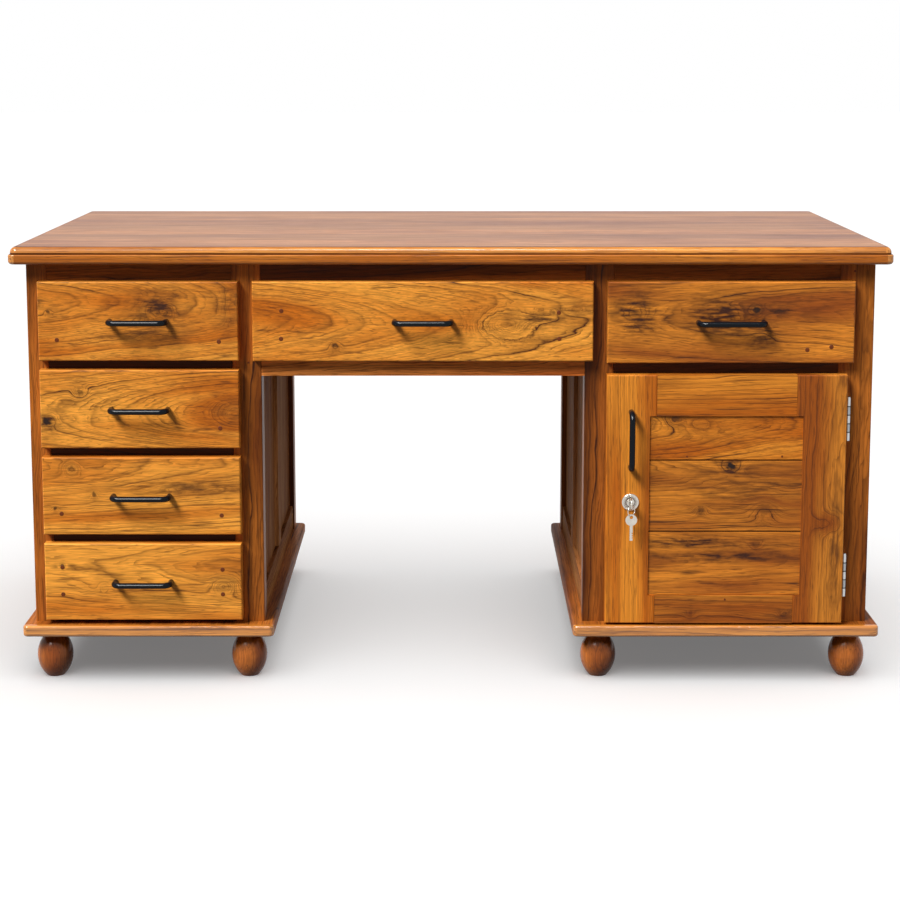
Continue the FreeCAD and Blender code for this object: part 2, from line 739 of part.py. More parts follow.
def door():
    rails = [tenoned(f"door_{name}_blank", 0, ("rail_left", "door_face", z),
                     ("rail_length", "door_thickness", height), "tenon_length")
             for name, z, height in (("low", "door_z", "door_bottom_rail"),
                                     ("high", "door_top - door_top_rail", "door_top_rail"))]
    boards = [panel_board("board_low", "boards_z", "third_board"),
              panel_board("board_middle", "boards_z + third_board", "second_board"),
              panel_board("board_high", "boards_z + third_board + second_board", "first_board")]
    recess = board("boards_recess", "rail_left - board_rebate", "door_face - overrun", "boards_z",
                   "rail_length + 2 * board_rebate", "overrun + board_recess + board_thickness",
                   "boards_height")
    hole = rod("lock_hole", "lock_x", "door_face - overrun", "lock_z", "lock_barrel",
               "door_thickness + 2 * overrun", ROUND_Y)
    stiles = {"lock": "door_left", "hinge": "door_right - stile_width"}
    for name, x in stiles.items():
        blank = eased_front(f"{name}_stile_blank", x, "door_back", "door_z", "stile_width", "door_thickness",
                            "door_height", "door_ease")
        entering = rails + [recess]
        if name == "lock":
            entering.append(hole)
        subpart(f"door_{name}_stile", cut(f"{name}_stile", blank, entering))
    subpart("door_rails", gather("both_door_rails", rails))
    subpart("door_panel_boards", gather("boards", boards))
    pull_z = "door_top - door_pull_drop - pull_centres / 2"
    subpart("door_pull", pull("door_bar", "lock_x", "door_face", pull_z, "pull_centres", UPRIGHT))


def hinge_leaf(name, z, front, first):
    """One leaf of a butt hinge: a plate, and every second knuckle from the first."""
    clear = "(hinge_barrel / 2 + hinge_gap)"
    pieces = [board(f"{name}_plate", "hinge_x - hinge_leaf_width", front, z, f"hinge_leaf_width - {clear}",
                    "hinge_leaf", "hinge_length")]
    for number in range(first, HINGE_KNUCKLES, 2):
        low = f"{z} + {number} * knuckle_pitch + hinge_gap / 2"
        height = "knuckle_pitch - hinge_gap"
        pieces.append(rod(f"{name}_knuckle_{number}", "hinge_x", "hinge_y", low, "hinge_barrel", height))
        pieces.append(board(f"{name}_tab_{number}", f"hinge_x - {clear}", front, low, clear, "hinge_leaf",
                            height))
    bore = rod(f"{name}_bore", "hinge_x", "hinge_y", f"{z} - overrun", "hinge_bore",
               "hinge_length + 2 * overrun")
    return cut(name, join(f"{name}_blank", pieces), [bore])


def hinges():
    post_leaves = []
    door_leaves = []
    pins = []
    for name, middle in (("low", "door_z + hinge_end_inset"), ("high", "door_top - hinge_end_inset")):
        z = f"{middle} - hinge_length / 2"
        post_leaves.append(hinge_leaf(f"post_leaf_{name}", z, "face_y - hinge_leaf", 0))
        door_leaves.append(hinge_leaf(f"door_leaf_{name}", z, "door_back", 1))
        top = f"{z} + hinge_length - hinge_gap / 2"
        shank = rod(f"pin_shank_{name}", "hinge_x", "hinge_y", z, "hinge_pin", "hinge_length")
        head = rod(f"pin_head_{name}", "hinge_x", "hinge_y", top, "hinge_pin_head", "hinge_pin_head_height")
        pins.append(join(f"pin_{name}", [shank, head]))
    subpart("hinge_post_leaves", gather("post_leaves", post_leaves))
    subpart("hinge_door_leaves", gather("door_leaves", door_leaves))
    subpart("hinge_pins", gather("pins", pins))


# Lock and keys

def lock():
    body = doc.addObject("PartDesign::Body", "lock_case")
    profile = outline(sketch_on(body, "XY_Plane"), [
        ("lock_bore / 2", "0"),
        ("rosette_diameter / 2 - rosette_round", "0"),
        ("rosette_diameter / 2", "rosette_round", "rosette_round"),
        ("rosette_diameter / 2", "rosette_thickness"),
        ("lock_barrel / 2", "rosette_thickness"),
        ("lock_barrel / 2", "barrel_length - keeper_gap"),
        ("lock_bore / 2", "barrel_length - keeper_gap"),
    ])
    turning = body.newObject("PartDesign::Revolution", "lock_turning")
    turning.Profile = profile
    turning.ReferenceAxis = (profile, ["V_Axis"])
    doc.recompute()
    place(body, "lock_x", "rosette_face", "lock_z")
    nut = doc.addObject("Part::Prism", "nut_blank")
    nut.Polygon = NUT_SIDES
    tie(nut, Circumradius="lock_nut / 2", Height="lock_nut_thickness")
    place(nut, "lock_x", "door_back", "lock_z", ROUND_Y)
    nut_bore = rod("nut_bore", "lock_x", "door_back - overrun", "lock_z", "lock_barrel",
                   "lock_nut_thickness + 2 * overrun", ROUND_Y)
    subpart("lock_body", gather("lock_case_and_nut", [body, cut("nut", nut, [nut_bore])]))

    plug = rod("plug_round", "lock_x", "rosette_face", "lock_z", "lock_plug", "barrel_length", ROUND_Y)
    square = board("plug_square", "lock_x - cam_square / 2", "cam_y", "lock_z - cam_square / 2", "cam_square",
                   "cam_thickness", "cam_square")
    keyway = board("keyway", "lock_x - key_thickness / 2 - key_play", "rosette_face - overrun",
                   "lock_z - key_blade_width / 2 - key_play", "key_thickness + 2 * key_play",
                   "overrun + key_blade_length + key_play", "key_blade_width + 2 * key_play")
    subpart("lock_plug", cut("plug", join("plug_blank", [plug, square]), [keyway]))

    hub = rod("cam_hub", "lock_x", "cam_y", "lock_z", "cam_width", "cam_thickness", ROUND_Y)
    arm = board("cam_arm", "lock_x - cam_width / 2", "cam_y", "lock_z", "cam_width", "cam_thickness",
                "cam_length - cam_width / 2")
    tip = rod("cam_tip", "lock_x", "cam_y", "lock_z + cam_length - cam_width / 2", "cam_width",
              "cam_thickness", ROUND_Y)
    subpart("lock_cam", cut("cam", join("cam_blank", [hub, arm, tip]), [square]))

    keeper_z = "lock_z - keeper_height / 2"
    plate = board("keeper_plate", "right_bay", "face_y + keeper_setback", keeper_z, "keeper_thickness",
                  "keeper_depth", "keeper_height")
    lip = board("keeper_lip", "right_bay", "face_y + keeper_setback", keeper_z, "keeper_reach",
                "keeper_thickness", "keeper_height")
    subpart("lock_keeper", join("keeper", [plate, lip]))


def key_blank(name):
    """A flat key, bow at the origin in the XZ plane, with its blade hanging down."""
    half = "-key_thickness / 2"
    bow = rod(f"{name}_bow", "0", half, "0", "key_bow", "key_thickness", ROUND_Y)
    length = "key_bow / 2 + key_shank + key_blade_length"
    blade = board(f"{name}_blade", "-key_blade_width / 2", half, f"-({length})", "key_blade_width",
                  "key_thickness", length)
    tools = [rod(f"{name}_hole", "0", f"{half} - overrun", "key_hole_offset", "key_hole",
                 "key_thickness + 2 * overrun", ROUND_Y)]
    for number in range(1, 4):
        tools.append(board(f"{name}_notch_{number}", "key_blade_width / 2 - key_notch", f"{half} - overrun",
                           f"{number} * key_notch_pitch - ({length})", "key_notch + overrun",
                           "key_thickness + 2 * overrun", "key_notch"))
    return cut(name, join(f"{name}_blank", [bow, blade]), tools)


def keys():
    subpart("key", place(key_blank("key_in_lock"), "lock_x", "bow_y", "lock_z", KEY_IN_LOCK))
    ring = doc.addObject("Part::Torus", "ring")
    tie(ring, Radius1="ring_diameter / 2", Radius2="ring_wire / 2")
    subpart("key_ring", place(ring, "lock_x", "hole_y", "ring_z", RING_TURN))
    spare = key_blank("key_on_ring")
    subpart("spare_key", place(spare, "lock_x", "hole_y", "spare_hole_z - key_hole_offset"))


def export():
    """Writes each sub-part once every object is sound."""
    doc.recompute()
    failed = [obj.Label for obj in doc.Objects if "Invalid" in obj.State or "Error" in obj.State]
    unsound = [obj.Label for obj in subparts if obj.Shape.isNull() or not obj.Shape.isValid()]
    if failed or unsound:
        raise RuntimeError(f"failed: {failed}, unsound: {unsound}")
    os.makedirs("parts", exist_ok=True)
    for obj in subparts:
        obj.Shape.exportStep(f"parts/{obj.Label}.step")
    print(f"{len(subparts)} sub-parts, {sum(len(obj.Shape.Solids) for obj in subparts)} solids")


desk_top()
plinths()
carcass()
runners()
cabinet_shelf()
drawers()
door()
hinges()
lock()
keys()
export()
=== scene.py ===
import math

import bpy
from mathutils import Matrix, Vector


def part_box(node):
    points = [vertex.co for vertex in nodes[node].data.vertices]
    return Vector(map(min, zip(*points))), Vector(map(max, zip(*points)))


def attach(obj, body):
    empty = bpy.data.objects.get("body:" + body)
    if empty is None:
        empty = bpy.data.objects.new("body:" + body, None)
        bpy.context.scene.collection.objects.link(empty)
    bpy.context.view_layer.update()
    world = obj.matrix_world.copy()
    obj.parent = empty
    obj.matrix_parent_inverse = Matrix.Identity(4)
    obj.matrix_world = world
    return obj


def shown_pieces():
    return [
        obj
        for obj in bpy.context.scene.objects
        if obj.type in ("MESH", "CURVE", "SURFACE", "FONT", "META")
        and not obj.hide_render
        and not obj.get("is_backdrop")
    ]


# Looks of the teak pedestal desk: varnished boards, black pulls, hinges, lock and studio light

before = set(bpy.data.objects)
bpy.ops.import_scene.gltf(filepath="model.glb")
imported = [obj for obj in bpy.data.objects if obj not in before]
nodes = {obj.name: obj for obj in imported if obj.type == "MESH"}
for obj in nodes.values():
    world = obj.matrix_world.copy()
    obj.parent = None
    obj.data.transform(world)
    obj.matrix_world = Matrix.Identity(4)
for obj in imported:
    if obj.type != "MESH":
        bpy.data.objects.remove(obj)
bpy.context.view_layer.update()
scene = bpy.context.scene

MM = 0.001
LEFT_DRAWERS = ["left_drawer_1", "left_drawer_2", "left_drawer_3", "left_drawer_4"]
DRAWERS = LEFT_DRAWERS + ["centre_drawer", "right_drawer"]
PULLS = [f"{drawer}_pull" for drawer in DRAWERS] + ["door_pull"]
WHITE = (1, 1, 1, 1)


def linear(code):
    """An sRGB hex colour as linear red, green, blue and alpha."""
    parts = [int(code[place:place + 2], 16) / 255 for place in (0, 2, 4)]
    return [part / 12.92 if part <= 0.04045 else ((part + 0.055) / 1.055) ** 2.4 for part in parts] + [1.0]


def add(tree, kind, inputs, **settings):
    """Adds a node, sets it up, links or fills its sockets, and gives its outputs."""
    node = tree.nodes.new(kind)
    for name, value in settings.items():
        setattr(node, name, value)
    for key, value in inputs.items():
        if isinstance(value, bpy.types.NodeSocket):
            tree.links.new(value, node.inputs[key])
        else:
            node.inputs[key].default_value = value
    return node.outputs


def new_group(name, inputs, outputs, sort="ShaderNodeTree"):
    """An empty node group with its sockets; inputs are (name, kind, default)."""
    tree = bpy.data.node_groups.new(name, sort)
    for title, kind, default in inputs:
        socket = tree.interface.new_socket(title, in_out="INPUT", socket_type=f"NodeSocket{kind}")
        if default is not None:
            socket.default_value = default
    for title, kind in outputs:
        tree.interface.new_socket(title, in_out="OUTPUT", socket_type=f"NodeSocket{kind}")
    return tree, tree.nodes.new("NodeGroupInput").outputs, tree.nodes.new("NodeGroupOutput").inputs


def blank_material(name):
    material = bpy.data.materials.new(name)
    material.use_nodes = True
    material.node_tree.nodes.clear()
    return material, material.node_tree


def place_in_mm(tree):
    """The place on a piece, in millimetres."""
    coords = add(tree, "ShaderNodeTexCoord", {})["Object"]
    return add(tree, "ShaderNodeVectorMath", {0: coords, "Scale": 1 / MM}, operation="SCALE")[0]


# Wood figure

KNOT_RESULTS = ("Bend", "Heart", "Stain")
# How dark a growth ring is, from one spring to the next
RING_TONES = ((0.08, 0.0), (0.55, 0.05), (0.82, 0.4), (0.95, 1.0))
RING_EDGE = (0.5, 0.5, 0.5, 1)


def knot_group():
    """One knot: it pushes the growth rings round itself, has a dark heart and stains the wood about it."""
    tree, ask, give = new_group("knot", [
        ("Place", "Vector", (0, 0, 0)), ("Centre", "Vector", (0, 0, 0)), ("Reach", "Vector", (10, 10, 10)),
        ("Push", "Float", 10), ("Dark", "Float", 1), ("Blush", "Float", 0.5),
        ("Bend", "Float", 0), ("Heart", "Float", 0), ("Stain", "Float", 0),
    ], [(title, "Float") for title in KNOT_RESULTS])
    noise = add(tree, "ShaderNodeTexNoise", {"Vector": ask["Place"], "Scale": 1 / 8, "Detail": 4})["Color"]
    ragged = add(tree, "ShaderNodeVectorMath", {0: noise, 1: (0.5, 0.5, 0.5)}, operation="SUBTRACT")[0]
    away = add(tree, "ShaderNodeVectorMath", {0: ask["Place"], 1: ask["Centre"]}, operation="SUBTRACT")[0]
    away = add(tree, "ShaderNodeVectorMath", {0: away, 1: ask["Reach"]}, operation="DIVIDE")[0]

    def closeness(rough, fall):
        """One at the knot's centre and less with distance, with an outline as ragged as asked."""
        apart = add(tree, "ShaderNodeVectorMath", {0: ragged, 1: (rough, rough, rough), 2: away},
                    operation="MULTIPLY_ADD")[0]
        square = add(tree, "ShaderNodeVectorMath", {0: apart, 1: apart}, operation="DOT_PRODUCT")["Value"]
        square = add(tree, "ShaderNodeMath", {0: square, 1: -fall}, operation="MULTIPLY")[0]
        return add(tree, "ShaderNodeMath", {0: square}, operation="EXPONENT")[0]

    near = closeness(1.1, 1.0)
    halo = closeness(1.1, 0.22)
    calm = closeness(0.3, 1.0)
    bend = add(tree, "ShaderNodeMath", {0: calm, 1: ask["Push"], 2: ask["Bend"]},
               operation="MULTIPLY_ADD")[0]
    core = add(tree, "ShaderNodeMapRange", {"Value": near, "From Min": 0.62, "From Max": 0.9},
               interpolation_type="SMOOTHSTEP")[0]
    core = add(tree, "ShaderNodeMath", {0: core, 1: ask["Dark"]}, operation="MULTIPLY")[0]
    heart = add(tree, "ShaderNodeMath", {0: core, 1: ask["Heart"]}, operation="MAXIMUM")[0]
    blush = add(tree, "ShaderNodeMath", {0: halo, 1: ask["Blush"]}, operation="MULTIPLY")[0]
    stain = add(tree, "ShaderNodeMath", {0: blush, 1: ask["Stain"]}, operation="MAXIMUM")[0]
    for title, result in zip(KNOT_RESULTS, (bend, heart, stain)):
        tree.links.new(result, give[title])
    return tree


def figure_group():
    """Sawn timber: growth rings about a pith, their wander, colour bands, streaks, fibres and pores.

    Place is in millimetres from the pith, with its first axis along the log."""
    tree, ask, give = new_group("sawn_figure", [
        ("Place", "Vector", (0, 0, 0)), ("Seed", "Float", 0), ("Ring", "Float", 7),
        ("Wander", "Float", 14), ("Bend", "Float", 0), ("Heart", "Float", 0), ("Stain", "Float", 0),
        ("Lines", "Float", 0.6), ("Streaks", "Float", 0.5), ("Light", "Color", WHITE),
        ("Middle", "Color", WHITE), ("Late", "Color", WHITE), ("Deep", "Color", WHITE),
        ("Knot", "Color", WHITE),
    ], [("Color", "Color"), ("Roughness", "Float"), ("Height", "Float")])
    place, seed = ask["Place"], ask["Seed"]

    def grain(along, across, detail):
        """Noise drawn out along the grain, about so many millimetres long and wide."""
        drawn = add(tree, "ShaderNodeVectorMath", {0: place, 1: (1 / along, 1 / across, 1 / across)},
                    operation="MULTIPLY")[0]
        return add(tree, "ShaderNodeTexNoise", {"Vector": drawn, "W": seed, "Scale": 1, "Detail": detail,
                                                "Roughness": 0.55}, noise_dimensions="4D")[0]

    def by_year(rate, detail):
        """Noise that changes from ring to ring."""
        year = add(tree, "ShaderNodeMath", {0: count, 1: rate, 2: seed}, operation="MULTIPLY_ADD")[0]
        return add(tree, "ShaderNodeTexNoise", {"W": year, "Scale": 1, "Detail": detail},
                   noise_dimensions="1D")[0]

    # Rings: distance from the pith, made to wander as a tree grows, in steps of one ring
    radial = add(tree, "ShaderNodeVectorMath", {0: place, 1: (0, 1, 1)}, operation="MULTIPLY")[0]
    radius = add(tree, "ShaderNodeVectorMath", {0: radial}, operation="LENGTH")["Value"]
    slow = add(tree, "ShaderNodeMath", {0: grain(210, 58, 1.5), 1: 0.5}, operation="SUBTRACT")[0]
    quick = add(tree, "ShaderNodeMath", {0: grain(48, 11, 2), 1: 0.5}, operation="SUBTRACT")[0]
    radius = add(tree, "ShaderNodeMath", {0: slow, 1: ask["Wander"], 2: radius},
                 operation="MULTIPLY_ADD")[0]
    radius = add(tree, "ShaderNodeMath", {0: quick, 1: 4.2, 2: radius}, operation="MULTIPLY_ADD")[0]
    radius = add(tree, "ShaderNodeMath", {0: radius, 1: ask["Bend"]}, operation="ADD")[0]
    count = add(tree, "ShaderNodeMath", {0: radius, 1: ask["Ring"]}, operation="DIVIDE")[0]
    part = add(tree, "ShaderNodeMath", {0: count}, operation="FRACT")[0]
    late = add(tree, "ShaderNodeValToRGB", {"Fac": part})["Color"]
    stops = late.node.color_ramp.elements
    stops[0].color = RING_EDGE
    stops[1].color = RING_EDGE
    for spot, level in RING_TONES:
        stops.new(spot).color = (level, level, level, 1)
    strength = add(tree, "ShaderNodeMapRange", {"Value": by_year(0.43, 1), "From Min": 0.36,
                                                "From Max": 0.66, "To Min": 0.16, "To Max": 1})[0]
    fade = add(tree, "ShaderNodeMapRange", {"Value": grain(150, 30, 2), "From Min": 0.3, "From Max": 0.62,
                                            "To Min": 0.25, "To Max": 1})[0]
    lines = add(tree, "ShaderNodeMath", {0: late, 1: strength}, operation="MULTIPLY")[0]
    lines = add(tree, "ShaderNodeMath", {0: lines, 1: fade}, operation="MULTIPLY")[0]
    finer = add(tree, "ShaderNodeMath", {0: count, 1: 2.7, 2: seed}, operation="MULTIPLY_ADD")[0]
    finer = add(tree, "ShaderNodeMath", {0: finer}, operation="FRACT")[0]
    finer = add(tree, "ShaderNodeMapRange", {"Value": finer, "From Min": 0.62, "From Max": 0.95})[0]
    hidden = add(tree, "ShaderNodeMapRange", {"Value": grain(95, 15, 2), "From Min": 0.4, "From Max": 0.68,
                                              "To Min": 0.05, "To Max": 0.6})[0]
    finer = add(tree, "ShaderNodeMath", {0: finer, 1: hidden}, operation="MULTIPLY")[0]
    lines = add(tree, "ShaderNodeMath", {0: lines, 1: finer}, operation="MAXIMUM")[0]
    lines = add(tree, "ShaderNodeMath", {0: lines, 1: ask["Lines"]}, operation="MULTIPLY")[0]

    # Broad bands that follow the rings, cloudy light and dark along the board, streaks and stains
    cloud = add(tree, "ShaderNodeMath", {0: grain(300, 52, 2), 1: by_year(0.16, 2)}, operation="ADD")[0]
    cloud = add(tree, "ShaderNodeMapRange", {"Value": cloud, "From Min": 0.72, "From Max": 1.28},
                interpolation_type="SMOOTHSTEP")[0]
    colour = add(tree, "ShaderNodeMix", {0: cloud, 6: ask["Middle"], 7: ask["Light"]},
                 data_type="RGBA")[2]
    colour = add(tree, "ShaderNodeMix", {0: lines, 6: colour, 7: ask["Late"]}, data_type="RGBA")[2]
    mineral = add(tree, "ShaderNodeMapRange", {"Value": grain(190, 5.5, 3), "From Min": 0.55,
                                               "From Max": 0.74}, interpolation_type="SMOOTHSTEP")[0]
    mineral = add(tree, "ShaderNodeMath", {0: mineral, 1: ask["Streaks"]}, operation="MULTIPLY")[0]
    stain = add(tree, "ShaderNodeMapRange", {"Value": grain(34, 5, 3), "From Min": 0.36, "From Max": 0.62,
                                             "To Min": 0.2, "To Max": 1.2})[0]
    stain = add(tree, "ShaderNodeMath", {0: stain, 1: ask["Stain"]}, operation="MULTIPLY")[0]
    mineral = add(tree, "ShaderNodeMath", {0: mineral, 1: stain}, operation="MAXIMUM", use_clamp=True)[0]
    colour = add(tree, "ShaderNodeMix", {0: mineral, 6: colour, 7: ask["Deep"]}, data_type="RGBA")[2]

    # Fibres and pores are finer than a pixel, so they are drawn about three times as coarse as they are
    fibre = grain(110, 2.4, 2)
    tint = add(tree, "ShaderNodeMapRange", {"Value": fibre, "From Min": 0.3, "From Max": 0.7,
                                            "To Min": 0.74, "To Max": 1.2})[0]
    colour = add(tree, "ShaderNodeMix", {0: 1.0, 6: colour, 7: tint}, data_type="RGBA",
                 blend_type="MULTIPLY")[2]
    pore = add(tree, "ShaderNodeMapRange", {"Value": grain(26, 1.6, 1), "From Min": 0.58,
                                            "From Max": 0.74})[0]
    pored = add(tree, "ShaderNodeMath", {0: pore, 1: 0.55}, operation="MULTIPLY")[0]
    colour = add(tree, "ShaderNodeMix", {0: pored, 6: colour, 7: ask["Deep"]}, data_type="RGBA")[2]
    colour = add(tree, "ShaderNodeMix", {0: ask["Heart"], 6: colour, 7: ask["Knot"]}, data_type="RGBA")[2]
    tree.links.new(colour, give["Color"])
    dull = add(tree, "ShaderNodeMapRange", {"Value": fibre, "From Min": 0.3, "From Max": 0.7,
                                            "To Min": 0.5, "To Max": 0.38})[0]
    tree.links.new(dull, give["Roughness"])
    level = add(tree, "ShaderNodeMath", {0: pore, 1: -0.6, 2: fibre}, operation="MULTIPLY_ADD")[0]
    level = add(tree, "ShaderNodeMath", {0: lines, 1: -0.5, 2: level}, operation="MULTIPLY_ADD")[0]
    tree.links.new(level, give["Height"])
    return tree


KNOT = knot_group()
FIGURE = figure_group()

# Colours of each finish: early wood, the usual tone, late-wood lines, mineral streaks, knot hearts
FRONT = {"Light": "F6A43E", "Middle": "C66A16", "Late": "461D07", "Deep": "42200E", "Knot": "1E0D06"}
AMBER = {"Light": "DE892B", "Middle": "B45D12", "Late": "461D07", "Deep": "401D0C", "Knot": "1E0D06"}
BROWN = {"Light": "CC7E2B", "Middle": "964C12", "Late": "401B08", "Deep": "3A190A", "Knot": "1C0C06"}
DAPPLED = {"Light": "E68E2F", "Middle": "904714", "Late": "3A1807", "Deep": "34160A", "Knot": "180A05"}
# Brighter colours for the apron rail, which the centre drawer's front shades: painted light
APRON_PAINTED_LIGHT = {"Light": "F99A4A", "Middle": "CE6628", "Late": "461D07", "Deep": "401D0C", "Knot": "1E0D06"}
FRAME = {"Light": "BA6B26", "Middle": "6A330E", "Late": "3A1908", "Deep": "2E1307", "Knot": "1C0C06"}
# Frame colours darkened as painted shade, for the top rails under the desk top, the right pedestal's inner
# front post and the grooves of the top's edge
DARK_PAINTED_SHADE = {"Light": "9A561E", "Middle": "55290B", "Late": "32150A", "Deep": "281006", "Knot": "1C0C06"}
SHADED = {"Light": "50280C", "Middle": "361909", "Late": "261008", "Deep": "1E0C05", "Knot": "150805"}
# Colours of the top's flat, darker than its edges to offset the stronger light on it: painted shade
SHADED_TOP = {"Light": "A26B3C", "Middle": "743E1D", "Late": "4C220C", "Deep": "3E1C0D", "Knot": "200E07"}
EDGE = {"Light": "D98C36", "Middle": "AC611C", "Late": "55290E", "Deep": "472210", "Knot": "220F08"}
NOSING = {"Light": "E48F33", "Middle": "B2621A", "Late": "4A220B", "Deep": "40200F", "Knot": "220F08"}
PANEL = {"Light": "B27846", "Middle": "8E5832", "Late": "4A2611", "Deep": "36190C", "Knot": "1A0B06"}
TURNED = {"Light": "B26222", "Middle": "8C4413", "Late": "46200B", "Deep": "3A1A0B", "Knot": "1C0C06"}
INNER = {"Light": "DDB988", "Middle": "CBA270", "Late": "A87C4B", "Deep": "93683C", "Knot": "5A3C22"}

GRAIN_AXES = {
    "x": ((1, 0, 0), (0, 0, 1), (0, 1, 0)),
    "y": ((0, 1, 0), (0, 0, 1), (1, 0, 0)),
    "z": ((0, 0, 1), (1, 0, 0), (0, 1, 0)),
}
ALL_DEPTH = 1e6


def corners(node):
    """A node's lowest and highest corners at rest, in millimetres."""
    return [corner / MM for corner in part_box(node)]


def middle_of(node):
    low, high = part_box(node)
    return (low + high) / 2 / MM


def log_through(spot, grain, pith):
    """Turn and shift that take a place in millimetres to the log that a board was sawn from.

    The pith passes the spot at these distances across the board's face and behind it, at this slope."""
    across, depth, slope = pith
    run, side, back = (Vector(axis) for axis in GRAIN_AXES[grain])
    first = (run + slope * back).normalized()
    second = (back - back.dot(first) * first).normalized()
    turn = Matrix((first, second, first.cross(second)))
    return turn.to_euler(), -(turn @ (Vector(spot) + across * side + depth * back))


def varnish(tree, colour, roughness, height, shine):
    """Satin varnish over wood: a soft sheen, with just enough grain to break it."""
    bump = add(tree, "ShaderNodeBump", {"Strength": 0.25, "Distance": 0.4 * MM, "Height": height})[0]
    shader = add(tree, "ShaderNodeBsdfPrincipled", {"Base Color": colour, "Roughness": roughness,
                                                    "Normal": bump, "IOR": 1.5,
                                                    "Specular IOR Level": shine})[0]
    add(tree, "ShaderNodeOutputMaterial", {"Surface": shader})


def teak(name, finish, spot, grain, pith, knots=(), ring=7.0, wander=14.0, seed=0.0, lines=1.25,
         streaks=0.75, shine=0.2, polish=1.0):
    """Varnished teak, sawn and planed: wavy late-wood lines, darker mineral streaks and a soft sheen.

    A knot is its place and reach on the front, its push on the rings, its heart and its stain. A polish
    below one makes the varnish glossier."""
    material, tree = blank_material(f"varnished_teak.{name}")
    place = place_in_mm(tree)
    turn, shift = log_through(spot, grain, pith)
    sawn = add(tree, "ShaderNodeMapping", {"Vector": place, "Location": shift, "Rotation": turn})[0]
    inputs = {"Place": sawn, "Seed": seed, "Ring": ring, "Wander": wander, "Lines": lines,
              "Streaks": streaks}
    for (x, z), (wide, high), push, dark, blush in knots:
        knot = {"Place": place, "Centre": (x, 0, z), "Reach": (wide, ALL_DEPTH, high), "Push": push,
                "Dark": dark, "Blush": blush}
        knot.update({title: inputs[title] for title in KNOT_RESULTS if title in inputs})
        done = add(tree, "ShaderNodeGroup", knot, node_tree=KNOT)
        inputs.update({title: done[title] for title in KNOT_RESULTS})
    inputs.update({title: linear(code) for title, code in finish.items()})
    figure = add(tree, "ShaderNodeGroup", inputs, node_tree=FIGURE)
    rough = add(tree, "ShaderNodeMath", {0: figure["Roughness"], 1: polish}, operation="MULTIPLY")[0]
    varnish(tree, figure["Color"], rough, figure["Height"], shine)
    return material


def paint(node, base, *choices):
    """Gives a node its base material, and others where they fit.

    A choice is a material and a test of a face's middle in millimetres. The first that fits is taken."""
    mesh = nodes[node].data
    mesh.materials.clear()
    for material, test in choices:
        mesh.materials.append(material)
    mesh.materials.append(base)
    for face in mesh.polygons:
        spot = face.center / MM
        fitting = (number for number, (material, test) in enumerate(choices) if test(spot))
        face.material_index = next(fitting, len(choices))


# Drawer fronts: the pith and knots of each follow what its board shows
FRONTS = {
    "left_drawer_1_front": dict(finish=FRONT, pith=(32, 48, 0.13), seed=1.3, ring=6.5, knots=[
        ((-500, 654), (26, 18), 20, 0.35, 0.95), ((-484, 645), (12, 9), 9, 0.5, 0.6),
        ((-505, 612), (34, 9), 6, 0.0, 0.7), ((-685, 649), (7, 6), 6, 0.8, 0.4),
        ((-372, 660), (16, 30), 10, 0.0, 0.6)]),
    "left_drawer_2_front": dict(finish=FRONT, pith=(-6, 42, -0.12), seed=2.7, ring=6.5, knots=[
        ((-634, 509), (12, 10), 14, 0.55, 0.35), ((-692, 459), (14, 11), 14, 1.0, 0.9),
        ((-372, 473), (26, 20), -26, 0.0, 0.5)]),
    "left_drawer_3_front": dict(finish=FRONT, pith=(58, 60, 0.06), seed=4.1, ring=6.0, knots=[
        ((-652, 376), (12, 11), 14, 0.5, 0.35), ((-440, 343), (60, 7), 9, 0.15, 0.75),
        ((-682, 307), (6, 6), 6, 0.8, 0.3), ((-614, 331), (7, 9), 8, 0.7, 0.3)]),
    "left_drawer_4_front": dict(finish=FRONT, pith=(24, 66, -0.05), seed=5.6, wander=20, knots=[
        ((-392, 171), (22, 15), 20, 0.0, 0.5), ((-672, 205), (6, 5), 5, 0.8, 0.2),
        ((-600, 168), (9, 7), 8, 0.1, 0.2)]),
    "centre_drawer_front": dict(finish=FRONT, pith=(-4, 70, 0.12), seed=7.2, ring=7.5, wander=16, knots=[
        ((-197, 591), (9, 9), 11, 0.7, 0.35), ((90, 627), (46, 24), 34, 0.0, 0.25),
        ((150, 636), (34, 7), 12, 0.3, 0.8), ((212, 652), (20, 8), 10, 0.3, 0.7),
        ((175, 648), (7, 6), 7, 0.5, 0.4)]),
    "right_drawer_front": dict(finish=DAPPLED, pith=(10, 52, -0.07), seed=8.9, ring=6.5, knots=[
        ((316, 645), (22, 20), 8, 0.3, 1.0), ((520, 652), (11, 9), 13, 0.9, 0.7),
        ((558, 650), (30, 5), 6, 0.7, 0.8), ((470, 640), (40, 19), 10, 0.0, 1.0),
        ((530, 603), (17, 12), 9, 0.3, 0.85)]),
}
for node, look in FRONTS.items():
    paint(node, teak(node, spot=middle_of(node), grain="x", **look))

